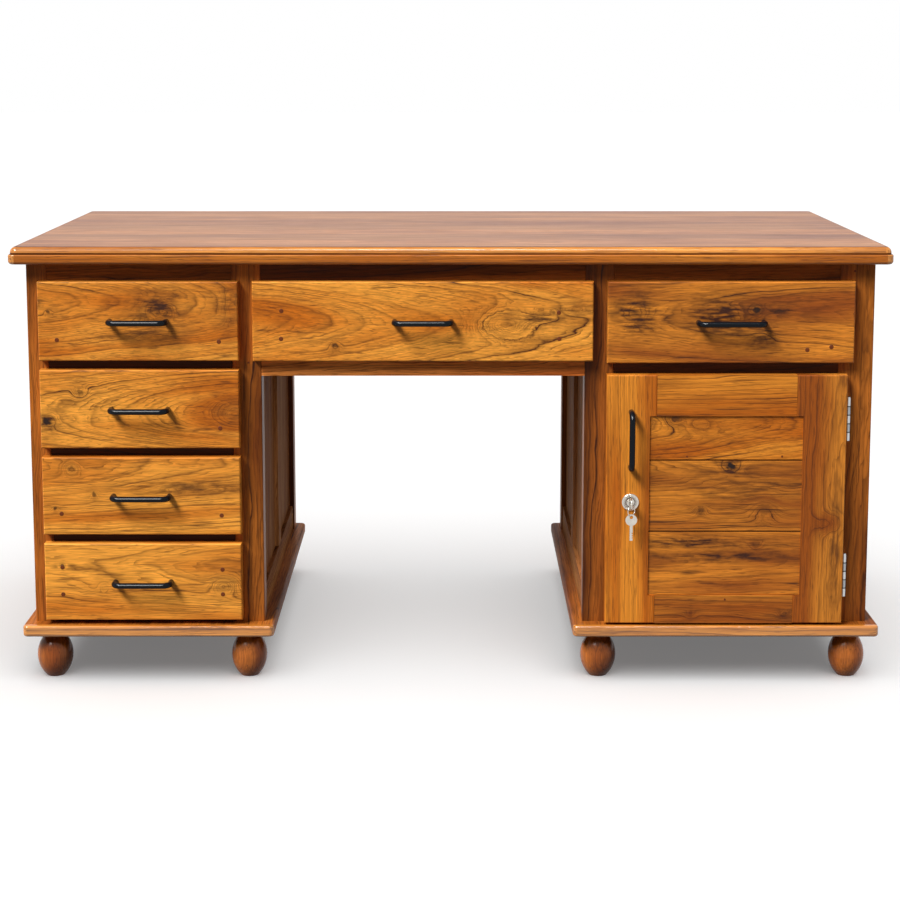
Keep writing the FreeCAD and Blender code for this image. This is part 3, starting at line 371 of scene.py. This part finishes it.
# Door: upright stiles, rails and three panel boards, with painted shade on the seams between them
BETWEEN_RAILS = 300
SEAM_HALF = 3
LOWER_SEAM_SHARE = 0.36
UPPER_SEAM_SHARE = 0.756
rail_spot = middle_of("door_rails")
board_spot = middle_of("door_panel_boards")
boards_low, boards_high = corners("door_panel_boards")
boards_height = boards_high.z - boards_low.z
lower_seam = boards_low.z + LOWER_SEAM_SHARE * boards_height
upper_seam = boards_low.z + UPPER_SEAM_SHARE * boards_height
lock_stile = teak("lock_stile", AMBER, middle_of("door_lock_stile"), "z", (-90, 70, 0.01), seed=10.4,
                  ring=6, wander=8, lines=0.75, streaks=0.4)
hinge_stile = teak("hinge_stile", BROWN, middle_of("door_hinge_stile"), "z", (40, 60, 0.03), seed=11.8,
                   ring=6, lines=1.1, knots=[
                       ((650, 281), (22, 16), 18, 0.0, 0.35), ((664, 225), (6, 55), 6, 0.0, 0.7)])
top_rail = teak("door_top_rail", AMBER, (rail_spot.x, rail_spot.y, 504), "x", (90, 50, 0.02), seed=13.1,
                ring=6, wander=12, lines=1.4, streaks=1.0)
bottom_rail = teak("door_bottom_rail", BROWN, (rail_spot.x, rail_spot.y, 128), "x", (-40, 50, 0.03),
                   seed=14.6, ring=6, knots=[
                       ((416, 119), (10, 7), 8, 0.3, 0.5), ((579, 119), (11, 7), 9, 0.4, 0.6)])
shaded_seams = teak("panel_seams", SHADED, board_spot, "x", (26, 46, 0), seed=20.6, shine=0.02)
first_board = teak("panel_first_board", AMBER, (board_spot.x, board_spot.y, 430), "x", (26, 46, 0.12),
                   seed=16.2, ring=6.5, knots=[
                       ((385, 463), (13, 9), 15, 0.7, 0.6), ((425, 455), (30, 14), 14, 0.0, 0.3)])
second_board = teak("panel_second_board", DAPPLED, (board_spot.x, board_spot.y, 330), "x", (44, 40, 0.03),
                    seed=17.9, wander=20, streaks=1.0, knots=[
                        ((482, 381), (15, 12), 18, 1.0, 0.95), ((431, 306), (12, 10), 14, 0.5, 0.5),
                        ((540, 306), (23, 21), 23, 0.2, 0.4), ((500, 345), (60, 22), 8, 0.0, 0.6)])
third_board = teak("panel_third_board", DAPPLED, (board_spot.x, board_spot.y, 210), "x", (8, 52, 0.05),
                   seed=19.3, ring=7.5, wander=18, streaks=1.0, knots=[
                       ((430, 246), (60, 6), 6, 0.0, 1.0), ((527, 242), (12, 10), 12, 0.3, 0.5),
                       ((470, 222), (80, 5), 3, 0.0, 0.95)])
paint("door_lock_stile", lock_stile)
paint("door_hinge_stile", hinge_stile)
paint("door_rails", bottom_rail, (top_rail, lambda face: face.z > BETWEEN_RAILS))
# The chamfers at the seams take the shaded colours as painted shade
paint("door_panel_boards", third_board,
      (shaded_seams, lambda face: min(abs(face.z - upper_seam), abs(face.z - lower_seam)) < SEAM_HALF),
      (first_board, lambda face: face.z > upper_seam), (second_board, lambda face: face.z > lower_seam))

# Frame of the pedestals, darker than the fronts; sides and back have hardly any shine
# The right pedestal's inner front post takes the darkened colours as painted shade
UPRIGHTS = {
    "left_front_outer_post": (FRAME, 21.0), "left_front_inner_post": (FRAME, 22.4),
    "right_front_inner_post": (DARK_PAINTED_SHADE, 23.9), "right_front_outer_post": (FRAME, 25.3),
    "back_posts": (FRAME, 26.8),
}
# The top rails take the darkened colours and the rails between drawers and above the door the shaded ones,
# both as painted shade; the apron rail takes brighter colours as painted light
CROSS_RAILS = {
    "left_top_rail": (DARK_PAINTED_SHADE, 28.1), "left_drawer_rails": (SHADED, 29.7), "right_top_rail": (DARK_PAINTED_SHADE, 31.2),
    "right_middle_rail": (SHADED, 32.6), "centre_top_rail": (DARK_PAINTED_SHADE, 34.3),
    "centre_apron_rail": (APRON_PAINTED_LIGHT, 35.8), "centre_back_apron": (FRAME, 37.2),
}
PANELS = ("left_side_panels", "right_side_panels", "left_back_panel", "right_back_panel")
HARDLY_SHINY = 0.001
SIDE_BOTTOM_RAIL = 51
OUTER_TOP_RAIL = 61
INNER_TOP_RAIL = 181
PLINTH_EDGE = 12
for node, (finish, seed) in UPRIGHTS.items():
    paint(node, teak(node, finish, middle_of(node), "z", (35, 45, 0.02), seed=seed, ring=6, wander=18,
                     shine=0.12))
for node, (finish, seed) in CROSS_RAILS.items():
    paint(node, teak(node, finish, middle_of(node), "x", (30, 40, 0.03), seed=seed, ring=6, wander=16,
                     streaks=0.6, shine=0.08))
for number, side in enumerate(("left_outer", "left_inner", "right_inner", "right_outer")):
    node = f"{side}_side_frame"
    low, high = corners(node)
    rail_top = low.z + SIDE_BOTTOM_RAIL
    muntin_top = high.z - (OUTER_TOP_RAIL if side.endswith("outer") else INNER_TOP_RAIL)
    along = teak(f"{side}_side_rails", PANEL, middle_of(node), "y", (60, 50, 0.02), seed=40 + number,
                 wander=16, shine=HARDLY_SHINY)
    upright = teak(f"{side}_muntin", PANEL, middle_of(node), "z", (40, 50, 0.02), seed=45 + number,
                   shine=HARDLY_SHINY)
    paint(node, upright, (along, lambda face: face.z < rail_top or face.z > muntin_top))
for number, node in enumerate(PANELS):
    paint(node, teak(node, PANEL, middle_of(node), "z", (60, 70, 0.03), seed=50.5 + number, ring=8,
                     wander=24, shine=HARDLY_SHINY))
# Each plinth's top and sides take the darker frame colours as painted shade; its front edge keeps the
# lighter edge colours
for number, node in enumerate(("left_plinth", "right_plinth")):
    front_edge = corners(node)[0].y + PLINTH_EDGE
    nose = teak(f"{node}_edge", EDGE, middle_of(node), "x", (-70, -290, 0.01), seed=55.2 + number,
                wander=18, shine=0.8, polish=0.45)
    run = teak(node, FRAME, middle_of(node), "y", (-300, 0, 0.01), seed=57.2 + number, wander=18,
               shine=0.03)
    paint(node, run, (nose, lambda face: face.y < front_edge))
paint("bun_feet", teak("bun_feet", TURNED, (0, 0, 40), "z", (9, 6, 0), seed=58.8, ring=6, lines=0.6,
                       streaks=0.4, shine=0.25, polish=0.5))

# Plain oiled insides
OILED = {"lines": 0.4, "streaks": 0.2, "shine": 0.15}
HIDDEN_GRAIN = {"drawer_runners": "y", "cabinet_shelf": "x", "shelf_cleats": "y"}
DRAWER_WALL = 12.1
for number, drawer in enumerate(DRAWERS):
    node = f"{drawer}_box"
    low, high = corners(node)
    wall = teak(f"{drawer}_walls", INNER, middle_of(node), "y", (60, 300, 0.01), seed=61.3 + number,
                **OILED)
    flat = teak(f"{drawer}_bottom", INNER, middle_of(node), "x", (-70, 40, 0.05), seed=68.3 + number,
                **OILED)
    paint(node, flat, (wall, lambda face: face.x < low.x + DRAWER_WALL or face.x > high.x - DRAWER_WALL))
for number, (node, grain) in enumerate(HIDDEN_GRAIN.items()):
    paint(node, teak(node, INNER, middle_of(node), grain, (-60, 50, 0.03), seed=75.4 + number, **OILED))


# Desk top

STRIP_WIDTH = 94.0
STRIP_START = 20.37
# How far strips are shifted along the log they came from, how deep its pith lay, and how far it leans
STRIP_SHIFT = 900
STRIP_PITH = 700.0
STRIP_LEAN = 0.14


def strip_top():
    """Varnished teak glued up from strips: each has its own figure, tone and a fine glue line."""
    material, tree = blank_material("varnished_teak.desk_top")
    place = add(tree, "ShaderNodeSeparateXYZ", {"Vector": place_in_mm(tree)})
    strips = add(tree, "ShaderNodeMath", {0: place["Y"], 1: 1 / STRIP_WIDTH, 2: STRIP_START},
                 operation="MULTIPLY_ADD")[0]
    number = add(tree, "ShaderNodeMath", {0: strips}, operation="FLOOR")[0]
    inside = add(tree, "ShaderNodeMath", {0: strips}, operation="FRACT")[0]
    chance = add(tree, "ShaderNodeTexWhiteNoise", {"W": number}, noise_dimensions="1D")
    draw = add(tree, "ShaderNodeSeparateXYZ", {"Vector": chance["Color"]})
    across = add(tree, "ShaderNodeMath", {0: inside, 1: draw["Y"]}, operation="SUBTRACT")[0]
    across = add(tree, "ShaderNodeMath", {0: across, 1: STRIP_WIDTH}, operation="MULTIPLY")[0]
    run = add(tree, "ShaderNodeMath", {0: draw["X"], 1: STRIP_SHIFT, 2: place["X"]},
              operation="MULTIPLY_ADD")[0]
    tilt = add(tree, "ShaderNodeMath", {0: draw["Z"], 1: 0.5}, operation="SUBTRACT")[0]
    tilt = add(tree, "ShaderNodeMath", {0: tilt, 1: STRIP_LEAN}, operation="MULTIPLY")[0]
    sunk = add(tree, "ShaderNodeMath", {0: place["X"], 1: tilt, 2: -STRIP_PITH},
               operation="MULTIPLY_ADD")[0]
    deep = add(tree, "ShaderNodeMath", {0: place["Z"], 1: sunk}, operation="ADD")[0]
    strip = add(tree, "ShaderNodeCombineXYZ", {"X": run, "Y": across, "Z": deep})[0]
    inputs = {"Place": strip, "Seed": number, "Ring": 7.0, "Wander": 18.0, "Lines": 0.6, "Streaks": 0.5}
    # The flat takes colours darkened as painted shade
    inputs.update({title: linear(code) for title, code in SHADED_TOP.items()})
    figure = add(tree, "ShaderNodeGroup", inputs, node_tree=FIGURE)
    tone = add(tree, "ShaderNodeMapRange", {"Value": chance["Value"], "To Min": 0.82, "To Max": 1.14})[0]
    edge = add(tree, "ShaderNodeMath", {0: inside, 1: 0.5}, operation="SUBTRACT")[0]
    edge = add(tree, "ShaderNodeMath", {0: edge}, operation="ABSOLUTE")[0]
    glue = add(tree, "ShaderNodeMapRange", {"Value": edge, "From Min": 0.488, "From Max": 0.498,
                                            "To Min": 1.0, "To Max": 0.7})[0]
    tone = add(tree, "ShaderNodeMath", {0: tone, 1: glue}, operation="MULTIPLY")[0]
    colour = add(tree, "ShaderNodeMix", {0: 1.0, 6: figure["Color"], 7: tone}, data_type="RGBA",
                 blend_type="MULTIPLY")[2]
    varnish(tree, colour, figure["Roughness"], figure["Height"], 0.5)
    return material


# How far the flat's own groove and the ledge lie below the flat, and where the ledge's groove lies from
# it; the grooves get painted shade
FLAT_GROOVE = 0.8
LEDGE_DEPTH = 13
LEDGE_GROOVE = (-0.2, 2.5)
END_WIDTH = 14
FLAT_SLACK = 0.01
MOULDED = {"ring": 6, "lines": 0.8, "shine": 0.5, "polish": 0.45}
top_spot = middle_of("desk_top")
top_high = corners("desk_top")[1]
top_flat = top_high.z - FLAT_SLACK
top_end = top_high.x - END_WIDTH
ledge = top_flat - LEDGE_DEPTH
moulding = teak("desk_top_moulding", EDGE, top_spot, "x", (60, -330, 0.01), seed=80.7, **MOULDED)
nosing = teak("desk_top_nosing", NOSING, top_spot, "x", (60, -330, 0.01), seed=81.5, ring=6, lines=1.0,
              shine=0.22, polish=0.6)
# Dark colours in the groove under the flat and along the ledge: painted shade
quirk_shade = teak("desk_top_quirk", DARK_PAINTED_SHADE, top_spot, "x", (60, -330, 0.01), seed=83.9, shine=0.08)
end_moulding = teak("desk_top_ends", EDGE, top_spot, "y", (-300, 0, 0.01), seed=82.3, **MOULDED)


def in_shaded_quirk(face):
    return face.z > top_flat - FLAT_GROOVE or LEDGE_GROOVE[0] < face.z - ledge < LEDGE_GROOVE[1]


paint("desk_top", moulding, (strip_top(), lambda face: face.z > top_flat), (quirk_shade, in_shaded_quirk),
      (end_moulding, lambda face: abs(face.x) > top_end), (nosing, lambda face: face.z < ledge))


# Metals

HINGE_MIDDLE = 322
HINGE_HALF = 138
KNUCKLE = 15
# Each fold of the height about one of these brings it nearer to a seam between two knuckles
HINGE_FOLDS = (HINGE_MIDDLE, HINGE_HALF, KNUCKLE, KNUCKLE / 2)
LOCK_X, LOCK_Z = 309, 319
LOCK_RING = (6.6, 10.5)


def coated_steel():
    """Powder-coated steel rod: near black and satin, with the coat's slight orange peel."""
    material, tree = blank_material("powder_coated_steel")
    coords = add(tree, "ShaderNodeTexCoord", {})["Object"]
    peel = add(tree, "ShaderNodeTexNoise", {"Vector": coords, "Scale": 1 / (1.2 * MM), "Detail": 1})[0]
    bump = add(tree, "ShaderNodeBump", {"Strength": 0.12, "Distance": 0.2 * MM, "Height": peel})[0]
    rough = add(tree, "ShaderNodeMapRange", {"Value": peel, "To Min": 0.13, "To Max": 0.21})[0]
    colour = add(tree, "ShaderNodeMix", {0: peel, 6: linear("03070B"), 7: linear("081019")},
                 data_type="RGBA")[2]
    shader = add(tree, "ShaderNodeBsdfPrincipled", {"Base Color": colour, "Roughness": rough,
                                                    "Normal": bump, "IOR": 1.5,
                                                    "Specular IOR Level": 0.12})[0]
    add(tree, "ShaderNodeOutputMaterial", {"Surface": shader})
    return material


def plated(name, code, other, low, high, grit, shaded_seams=False):
    """Plated metal, polished after forming: bright, with faint cloudy handling marks.

    Shaded seams paints shade into the joints between a hinge's knuckles, darkest at each seam."""
    material, tree = blank_material(name)
    coords = add(tree, "ShaderNodeTexCoord", {})["Object"]
    marks = add(tree, "ShaderNodeTexNoise", {"Vector": coords, "Scale": 1 / (grit * MM), "Detail": 3})[0]
    rough = add(tree, "ShaderNodeMapRange", {"Value": marks, "From Min": 0.3, "From Max": 0.7,
                                             "To Min": low, "To Max": high})[0]
    colour = add(tree, "ShaderNodeMix", {0: marks, 6: linear(code), 7: linear(other)},
                 data_type="RGBA")[2]
    # Painted shade where the narrow gaps between the knuckles lie
    if shaded_seams:
        height = add(tree, "ShaderNodeSeparateXYZ", {"Vector": coords})["Z"]
        for fold in HINGE_FOLDS:
            height = add(tree, "ShaderNodeMath", {0: height, 1: fold * MM}, operation="SUBTRACT")[0]
            height = add(tree, "ShaderNodeMath", {0: height}, operation="ABSOLUTE")[0]
        seam_shade = add(tree, "ShaderNodeMapRange", {"Value": height, "From Min": 0.7 * MM,
                                                "From Max": 1.3 * MM, "To Min": 0.85, "To Max": 0.0})[0]
        colour = add(tree, "ShaderNodeMix", {0: seam_shade, 6: colour, 7: linear("1E1A17")},
                     data_type="RGBA")[2]
    shader = add(tree, "ShaderNodeBsdfPrincipled", {"Base Color": colour, "Roughness": rough,
                                                    "Metallic": 1.0})[0]
    add(tree, "ShaderNodeOutputMaterial", {"Surface": shader})
    return material


def in_lock_ring(face):
    """Whether a face lies in the ring about the lock's plug that gets painted shade and a painted brown
    reflection of the wood.
    """
    return LOCK_RING[0] < math.hypot(face.x - LOCK_X, face.z - LOCK_Z) < LOCK_RING[1]


BLACK = coated_steel()
ZINC = plated("zinc_plated_steel", "B9BCBF", "D6D8DA", 0.24, 0.38, 5)
POST_LEAF = plated("zinc_plated_steel.post_leaves", "B4B7BA", "CBCED0", 0.28, 0.4, 5, shaded_seams=True)
DOOR_LEAF = plated("zinc_plated_steel.door_leaves", "8F9499", "A9ADB1", 0.3, 0.42, 5, shaded_seams=True)
NICKEL = plated("nickel_plated_brass", "BAB4AA", "D6D1C8", 0.12, 0.24, 7)
RING_SHADE_AND_REFLECTION = plated("nickel_plated_brass.ring_shade_and_reflection", "3C2C20", "5C4634", 0.3, 0.45, 3)
for node in PULLS:
    paint(node, BLACK)
for node in ("hinge_pins", "lock_keeper", "lock_cam"):
    paint(node, ZINC)
paint("hinge_post_leaves", POST_LEAF)
paint("hinge_door_leaves", DOOR_LEAF)
for node in ("key", "spare_key", "key_ring"):
    paint(node, NICKEL)
# Lock body and plug: the dark brown ring about the plug is painted shade of the gap and a painted
# reflection of the wood
for node in ("lock_body", "lock_plug"):
    paint(node, NICKEL, (RING_SHADE_AND_REFLECTION, in_lock_ring))


# Pegs, pins and screws

def end_grain():
    """Teak peg cut across the grain: darker than the board, specked with pores."""
    material, tree = blank_material("teak_end_grain")
    coords = add(tree, "ShaderNodeTexCoord", {})["Object"]
    specks = add(tree, "ShaderNodeTexNoise", {"Vector": coords, "Scale": 1 / (1.1 * MM), "Detail": 2})[0]
    colour = add(tree, "ShaderNodeMix", {0: specks, 6: linear("2E1206"), 7: linear("864016")},
                 data_type="RGBA")[2]
    bump = add(tree, "ShaderNodeBump", {"Strength": 0.3, "Distance": 0.2 * MM, "Height": specks})[0]
    shader = add(tree, "ShaderNodeBsdfPrincipled", {"Base Color": colour, "Roughness": 0.5, "Normal": bump,
                                                    "Specular IOR Level": 0.2})[0]
    add(tree, "ShaderNodeOutputMaterial", {"Surface": shader})
    return material


def head_group(name, crossed):
    """Round heads on points: each rises from a face, is narrower at its top, and is turned by chance.

    A crossed head has a cross recess for a driver."""
    tree, ask, give = new_group(name, [
        ("Points", "Geometry", None), ("Radius", "Float", 0.003), ("Rise", "Float", 0.0005),
        ("Sink", "Float", 0.001), ("Crown", "Float", 0.8), ("Facing", "Vector", (0, 0, 0)),
        ("Seed", "Int", 1), ("Finish", "Material", None),
    ], [("Geometry", "Geometry")], sort="GeometryNodeTree")
    depth = add(tree, "ShaderNodeMath", {0: ask["Rise"], 1: ask["Sink"]}, operation="ADD")[0]
    middle = add(tree, "ShaderNodeMath", {0: ask["Rise"], 1: ask["Sink"]}, operation="SUBTRACT")[0]
    middle = add(tree, "ShaderNodeMath", {0: middle, 1: 0.5}, operation="MULTIPLY")[0]
    stub = add(tree, "GeometryNodeMeshCylinder", {"Vertices": 20, "Side Segments": 3,
                                                  "Radius": ask["Radius"], "Depth": depth})
    head = add(tree, "GeometryNodeScaleElements", {"Geometry": stub["Mesh"], "Selection": stub["Top"],
                                                   "Scale": ask["Crown"]})[0]
    lift = add(tree, "ShaderNodeCombineXYZ", {"Z": middle})[0]
    head = add(tree, "GeometryNodeTransform", {"Geometry": head, "Translation": lift})[0]
    if crossed:
        arm = add(tree, "ShaderNodeMath", {0: ask["Radius"], 1: 1.1}, operation="MULTIPLY")[0]
        bit = add(tree, "ShaderNodeMath", {0: ask["Radius"], 1: 0.26}, operation="MULTIPLY")[0]
        top = add(tree, "ShaderNodeCombineXYZ", {"Z": ask["Rise"]})[0]
        for sides in ({"X": arm, "Y": bit, "Z": bit}, {"X": bit, "Y": arm, "Z": bit}):
            size = add(tree, "ShaderNodeCombineXYZ", sides)[0]
            blade = add(tree, "GeometryNodeMeshCube", {"Size": size})["Mesh"]
            blade = add(tree, "GeometryNodeTransform", {"Geometry": blade, "Translation": top})[0]
            head = add(tree, "GeometryNodeMeshBoolean", {"Mesh 1": head, "Mesh 2": blade},
                       solver="EXACT")[0]
    placed = add(tree, "GeometryNodeInstanceOnPoints", {"Points": ask["Points"], "Instance": head,
                                                        "Rotation": ask["Facing"]})[0]
    turn = add(tree, "FunctionNodeRandomValue", {0: (0, 0, -math.pi), 1: (0, 0, math.pi),
                                                 "Seed": ask["Seed"]}, data_type="FLOAT_VECTOR")[0]
    placed = add(tree, "GeometryNodeRotateInstances", {"Instances": placed, "Rotation": turn})[0]
    solid = add(tree, "GeometryNodeRealizeInstances", {"Geometry": placed})[0]
    solid = add(tree, "GeometryNodeSetMaterial", {"Geometry": solid, "Material": ask["Finish"]})[0]
    tree.links.new(solid, give["Geometry"])
    return tree


def set_heads(name, tree, body, slot, places, **sizes):
    """One mesh of heads at places in millimetres, which rides a body."""
    mesh = bpy.data.meshes.new(name)
    mesh.from_pydata([Vector(place) * MM for place in places], [], [])
    piece = bpy.data.objects.new(name, mesh)
    scene.collection.objects.link(piece)
    maker = piece.modifiers.new(name, "NODES")
    maker.node_group = tree
    sockets = {item.name: item.identifier for item in tree.interface.items_tree if item.in_out == "INPUT"}
    for title, value in sizes.items():
        maker[sockets[title]] = value
    made = bpy.data.meshes.new_from_object(piece.evaluated_get(bpy.context.evaluated_depsgraph_get()))
    piece.modifiers.remove(maker)
    piece.data = made
    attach(piece, body)


FRONTWARDS = (math.pi / 2, 0, 0)
BACKWARDS = (-math.pi / 2, 0, 0)
PEG_HEADS = head_group("peg_heads", crossed=False)
SCREW_HEADS = head_group("screw_heads", crossed=True)
END_GRAIN = end_grain()
PEG = {"Radius": 4.1 * MM, "Rise": 0.35 * MM, "Sink": 1.2 * MM, "Crown": 0.8, "Facing": FRONTWARDS,
       "Finish": END_GRAIN}
PIN = dict(PEG, Radius=2.1 * MM)
SCREW = {"Radius": 4.2 * MM, "Rise": 2.4 * MM, "Sink": 0.6 * MM, "Crown": 0.72, "Facing": BACKWARDS,
         "Finish": ZINC}
FLUSH = {"Radius": 3.2 * MM, "Rise": 0.03 * MM, "Sink": 0.9 * MM, "Crown": 0.95, "Finish": ZINC}
PEGS = {
    "left_drawer_1": [(-671, 600), (-395, 597)],
    "left_drawer_2": [(-395, 447)],
    "left_drawer_3": [(-671, 297), (-395, 294)],
    "left_drawer_4": [(-672, 202), (-395, 198), (-672, 154), (-395, 154)],
    "centre_drawer": [(-288, 650), (-289, 602), (184, 647), (185, 602)],
    "right_drawer": [(649, 588), (608, 583)],
}
# From a pull's end to the middle of its leg
PULL_LEG = 6.5
LEAF_X = 673.3
LEAF_STEPS = (-26, 0, 26)
for number, (drawer, spots) in enumerate(PEGS.items()):
    low, high = corners(f"{drawer}_front")
    pegs = [(x, low.y, z) for x, z in spots]
    set_heads(f"{drawer}_pegs", PEG_HEADS, drawer, "teak_front", pegs, Seed=number, **PEG)
    left, right = corners(f"{drawer}_pull")
    screws = [(x, high.y, (left.z + right.z) / 2) for x in (left.x + PULL_LEG, right.x - PULL_LEG)]
    set_heads(f"{drawer}_pull_screws", SCREW_HEADS, drawer, "hinge_steel", screws, Seed=10 + number,
              **SCREW)
door_face, door_back = (corner.y for corner in corners("door_rails"))
post_face = corners("right_front_outer_post")[0].y
pins = [(569, boards_low.y, 398), (406, boards_low.y, 398), (475, door_face, 146)]
set_heads("door_pins", PEG_HEADS, "door", "teak_front", pins, Seed=20, **PIN)
pins = [(690, post_face, 716), (-347, post_face, 558)]
set_heads("post_pins", PEG_HEADS, "carcass", "teak_frame", pins, Seed=21, **PIN)
lower, upper = corners("door_pull")
screws = [((lower.x + upper.x) / 2, door_back, z) for z in (lower.z + PULL_LEG, upper.z - PULL_LEG)]
set_heads("door_pull_screws", SCREW_HEADS, "door", "hinge_steel", screws, Seed=22, **SCREW)
holes = [(LEAF_X, (door_back + post_face) / 2, HINGE_MIDDLE + half + step)
         for half in (-HINGE_HALF, HINGE_HALF) for step in LEAF_STEPS]
set_heads("post_leaf_screws", SCREW_HEADS, "carcass", "hinge_steel", holes, Seed=23, Facing=FRONTWARDS,
          **FLUSH)
set_heads("door_leaf_screws", SCREW_HEADS, "door", "hinge_steel", holes, Seed=24, Facing=BACKWARDS,
          **FLUSH)


# Studio: white floor and surround, three key lamps at the upper left, fills, gloss, back and side lamps

FLOOR_HALF = 30.0
FLOOR_LIFT = 0.16
FLOOR_BOUNCE = 0.12
FLOOR_WHITE = 0.96
AMBIENT = 0.14


def seen_itself(tree):
    """One where a surface is seen itself or in gloss, and none where it only lights other things."""
    path = add(tree, "ShaderNodeLightPath", {})
    shown = add(tree, "ShaderNodeMath", {0: path["Is Camera Ray"], 1: path["Is Glossy Ray"]},
                operation="MAXIMUM")[0]
    return add(tree, "ShaderNodeMath", {0: shown, 1: path["Is Transmission Ray"]},
               operation="MAXIMUM")[0]


def gathered(name, members):
    """A collection of objects that a lamp lights, or that stand in its way."""
    group = bpy.data.collections.new(name)
    for member in members:
        group.objects.link(member)
    return group


floor_mesh = bpy.data.meshes.new("floor")
floor_mesh.from_pydata([(-FLOOR_HALF, -FLOOR_HALF, 0), (FLOOR_HALF, -FLOOR_HALF, 0),
                        (FLOOR_HALF, FLOOR_HALF, 0), (-FLOOR_HALF, FLOOR_HALF, 0)], [], [(0, 1, 2, 3)])
floor = bpy.data.objects.new("floor", floor_mesh)
scene.collection.objects.link(floor)
floor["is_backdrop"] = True
paper, tree = blank_material("white_studio_paper")
matt = add(tree, "ShaderNodeBsdfDiffuse", {"Color": (FLOOR_WHITE, FLOOR_WHITE, FLOOR_WHITE, 1)})[0]
glow = add(tree, "ShaderNodeEmission", {"Color": WHITE, "Strength": 1.0})[0]
white = add(tree, "ShaderNodeMixShader", {0: FLOOR_LIFT, 1: matt, 2: glow})[0]
grey = add(tree, "ShaderNodeBsdfDiffuse", {"Color": (FLOOR_BOUNCE, FLOOR_BOUNCE, FLOOR_BOUNCE, 1)})[0]
both = add(tree, "ShaderNodeMixShader", {0: seen_itself(tree), 1: grey, 2: white})[0]
add(tree, "ShaderNodeOutputMaterial", {"Surface": both})
floor_mesh.materials.append(paper)

world = bpy.data.worlds.new("studio")
world.use_nodes = True
tree = world.node_tree
tree.nodes.clear()
level = add(tree, "ShaderNodeMapRange", {"Value": seen_itself(tree), "To Min": AMBIENT, "To Max": 1.0})[0]
surround = add(tree, "ShaderNodeBackground", {"Color": WHITE, "Strength": level})[0]
add(tree, "ShaderNodeOutputWorld", {"Surface": surround})
scene.world = world

KNEEHOLE_SIDES = ("left_inner_side_frame", "right_inner_side_frame", "left_side_panels",
                  "right_side_panels")
lit_desk = gathered("lit_desk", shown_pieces())
lit_knees = gathered("lit_knees", [nodes[node] for node in KNEEHOLE_SIDES])
lit_pulls = gathered("lit_pulls", [nodes[node] for node in PULLS])
lit_floor = gathered("lit_floor", [floor])
stands_low = gathered("stands_low", [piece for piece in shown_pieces()
                                     if not piece.name.startswith(("desk_top", "centre_"))])
# Each lamp: where it shines from, its level on a surface that faces it, how soft it is, and what it lights
LAMPS = {
    "low_key_lamp": ((-0.371, -0.534, 0.566), 0.56, 18, lit_desk),
    "key_lamp": ((-0.557, -0.534, 0.848), 0.56, 18, lit_desk),
    "high_key_lamp": ((-0.789, -0.534, 1.202), 0.56, 18, lit_desk),
    "right_fill_lamp": ((0.57, -0.8, 0.2), 0.24, 40, lit_knees),
    "left_fill_lamp": ((-0.57, -0.8, 0.2), 0.25, 40, lit_knees),
    "strip_lamp": ((0.0, -0.5, 0.87), 0.3, 10, lit_desk),
    "pull_strip_lamp": ((-0.27, -0.75, 0.62), 2.6, 32, lit_pulls),
    "back_lamp": ((0.0, 0.94, 0.34), 0.45, 20, lit_desk),
    "right_lamp": ((0.91, 0.0, 0.42), 0.45, 20, lit_desk),
    "floor_lamp": ((0.0, -0.25, 1.0), 1.02, 80, lit_floor),
}
for name, (towards, level, spread, lit) in LAMPS.items():
    lamp = bpy.data.lights.new(name, "SUN")
    lamp.energy = level * math.pi
    lamp.angle = math.radians(spread)
    holder = bpy.data.objects.new(name, lamp)
    holder.rotation_euler = (-Vector(towards)).to_track_quat("-Z", "Y").to_euler()
    holder.light_linking.receiver_collection = lit
    holder.visible_glossy = name.endswith(("key_lamp", "strip_lamp"))
    holder.visible_diffuse = not name.endswith("strip_lamp")
    if lit == lit_floor:
        holder.light_linking.blocker_collection = stands_low
    scene.collection.objects.link(holder)

# Camera: its focal length is in pixels of the picture, and its tilt in radians below the level
PICTURE_WIDTH = 900
FOCAL_PIXELS = 1934.5
SENSOR = 36
LENS_SHIFT = -0.15
CAMERA_PLACE = (-0.0012, -3.611, 1.0905)
CAMERA_TILT = 0.1364
camera_data = bpy.data.cameras.new("camera")
camera_data.sensor_width = SENSOR
camera_data.lens = FOCAL_PIXELS / PICTURE_WIDTH * SENSOR
camera_data.shift_y = LENS_SHIFT
camera = bpy.data.objects.new("camera", camera_data)
camera.location = CAMERA_PLACE
camera.rotation_euler = (math.pi / 2 - CAMERA_TILT, 0, 0)
scene.collection.objects.link(camera)
scene.camera = camera

scene.view_settings.view_transform = "Standard"
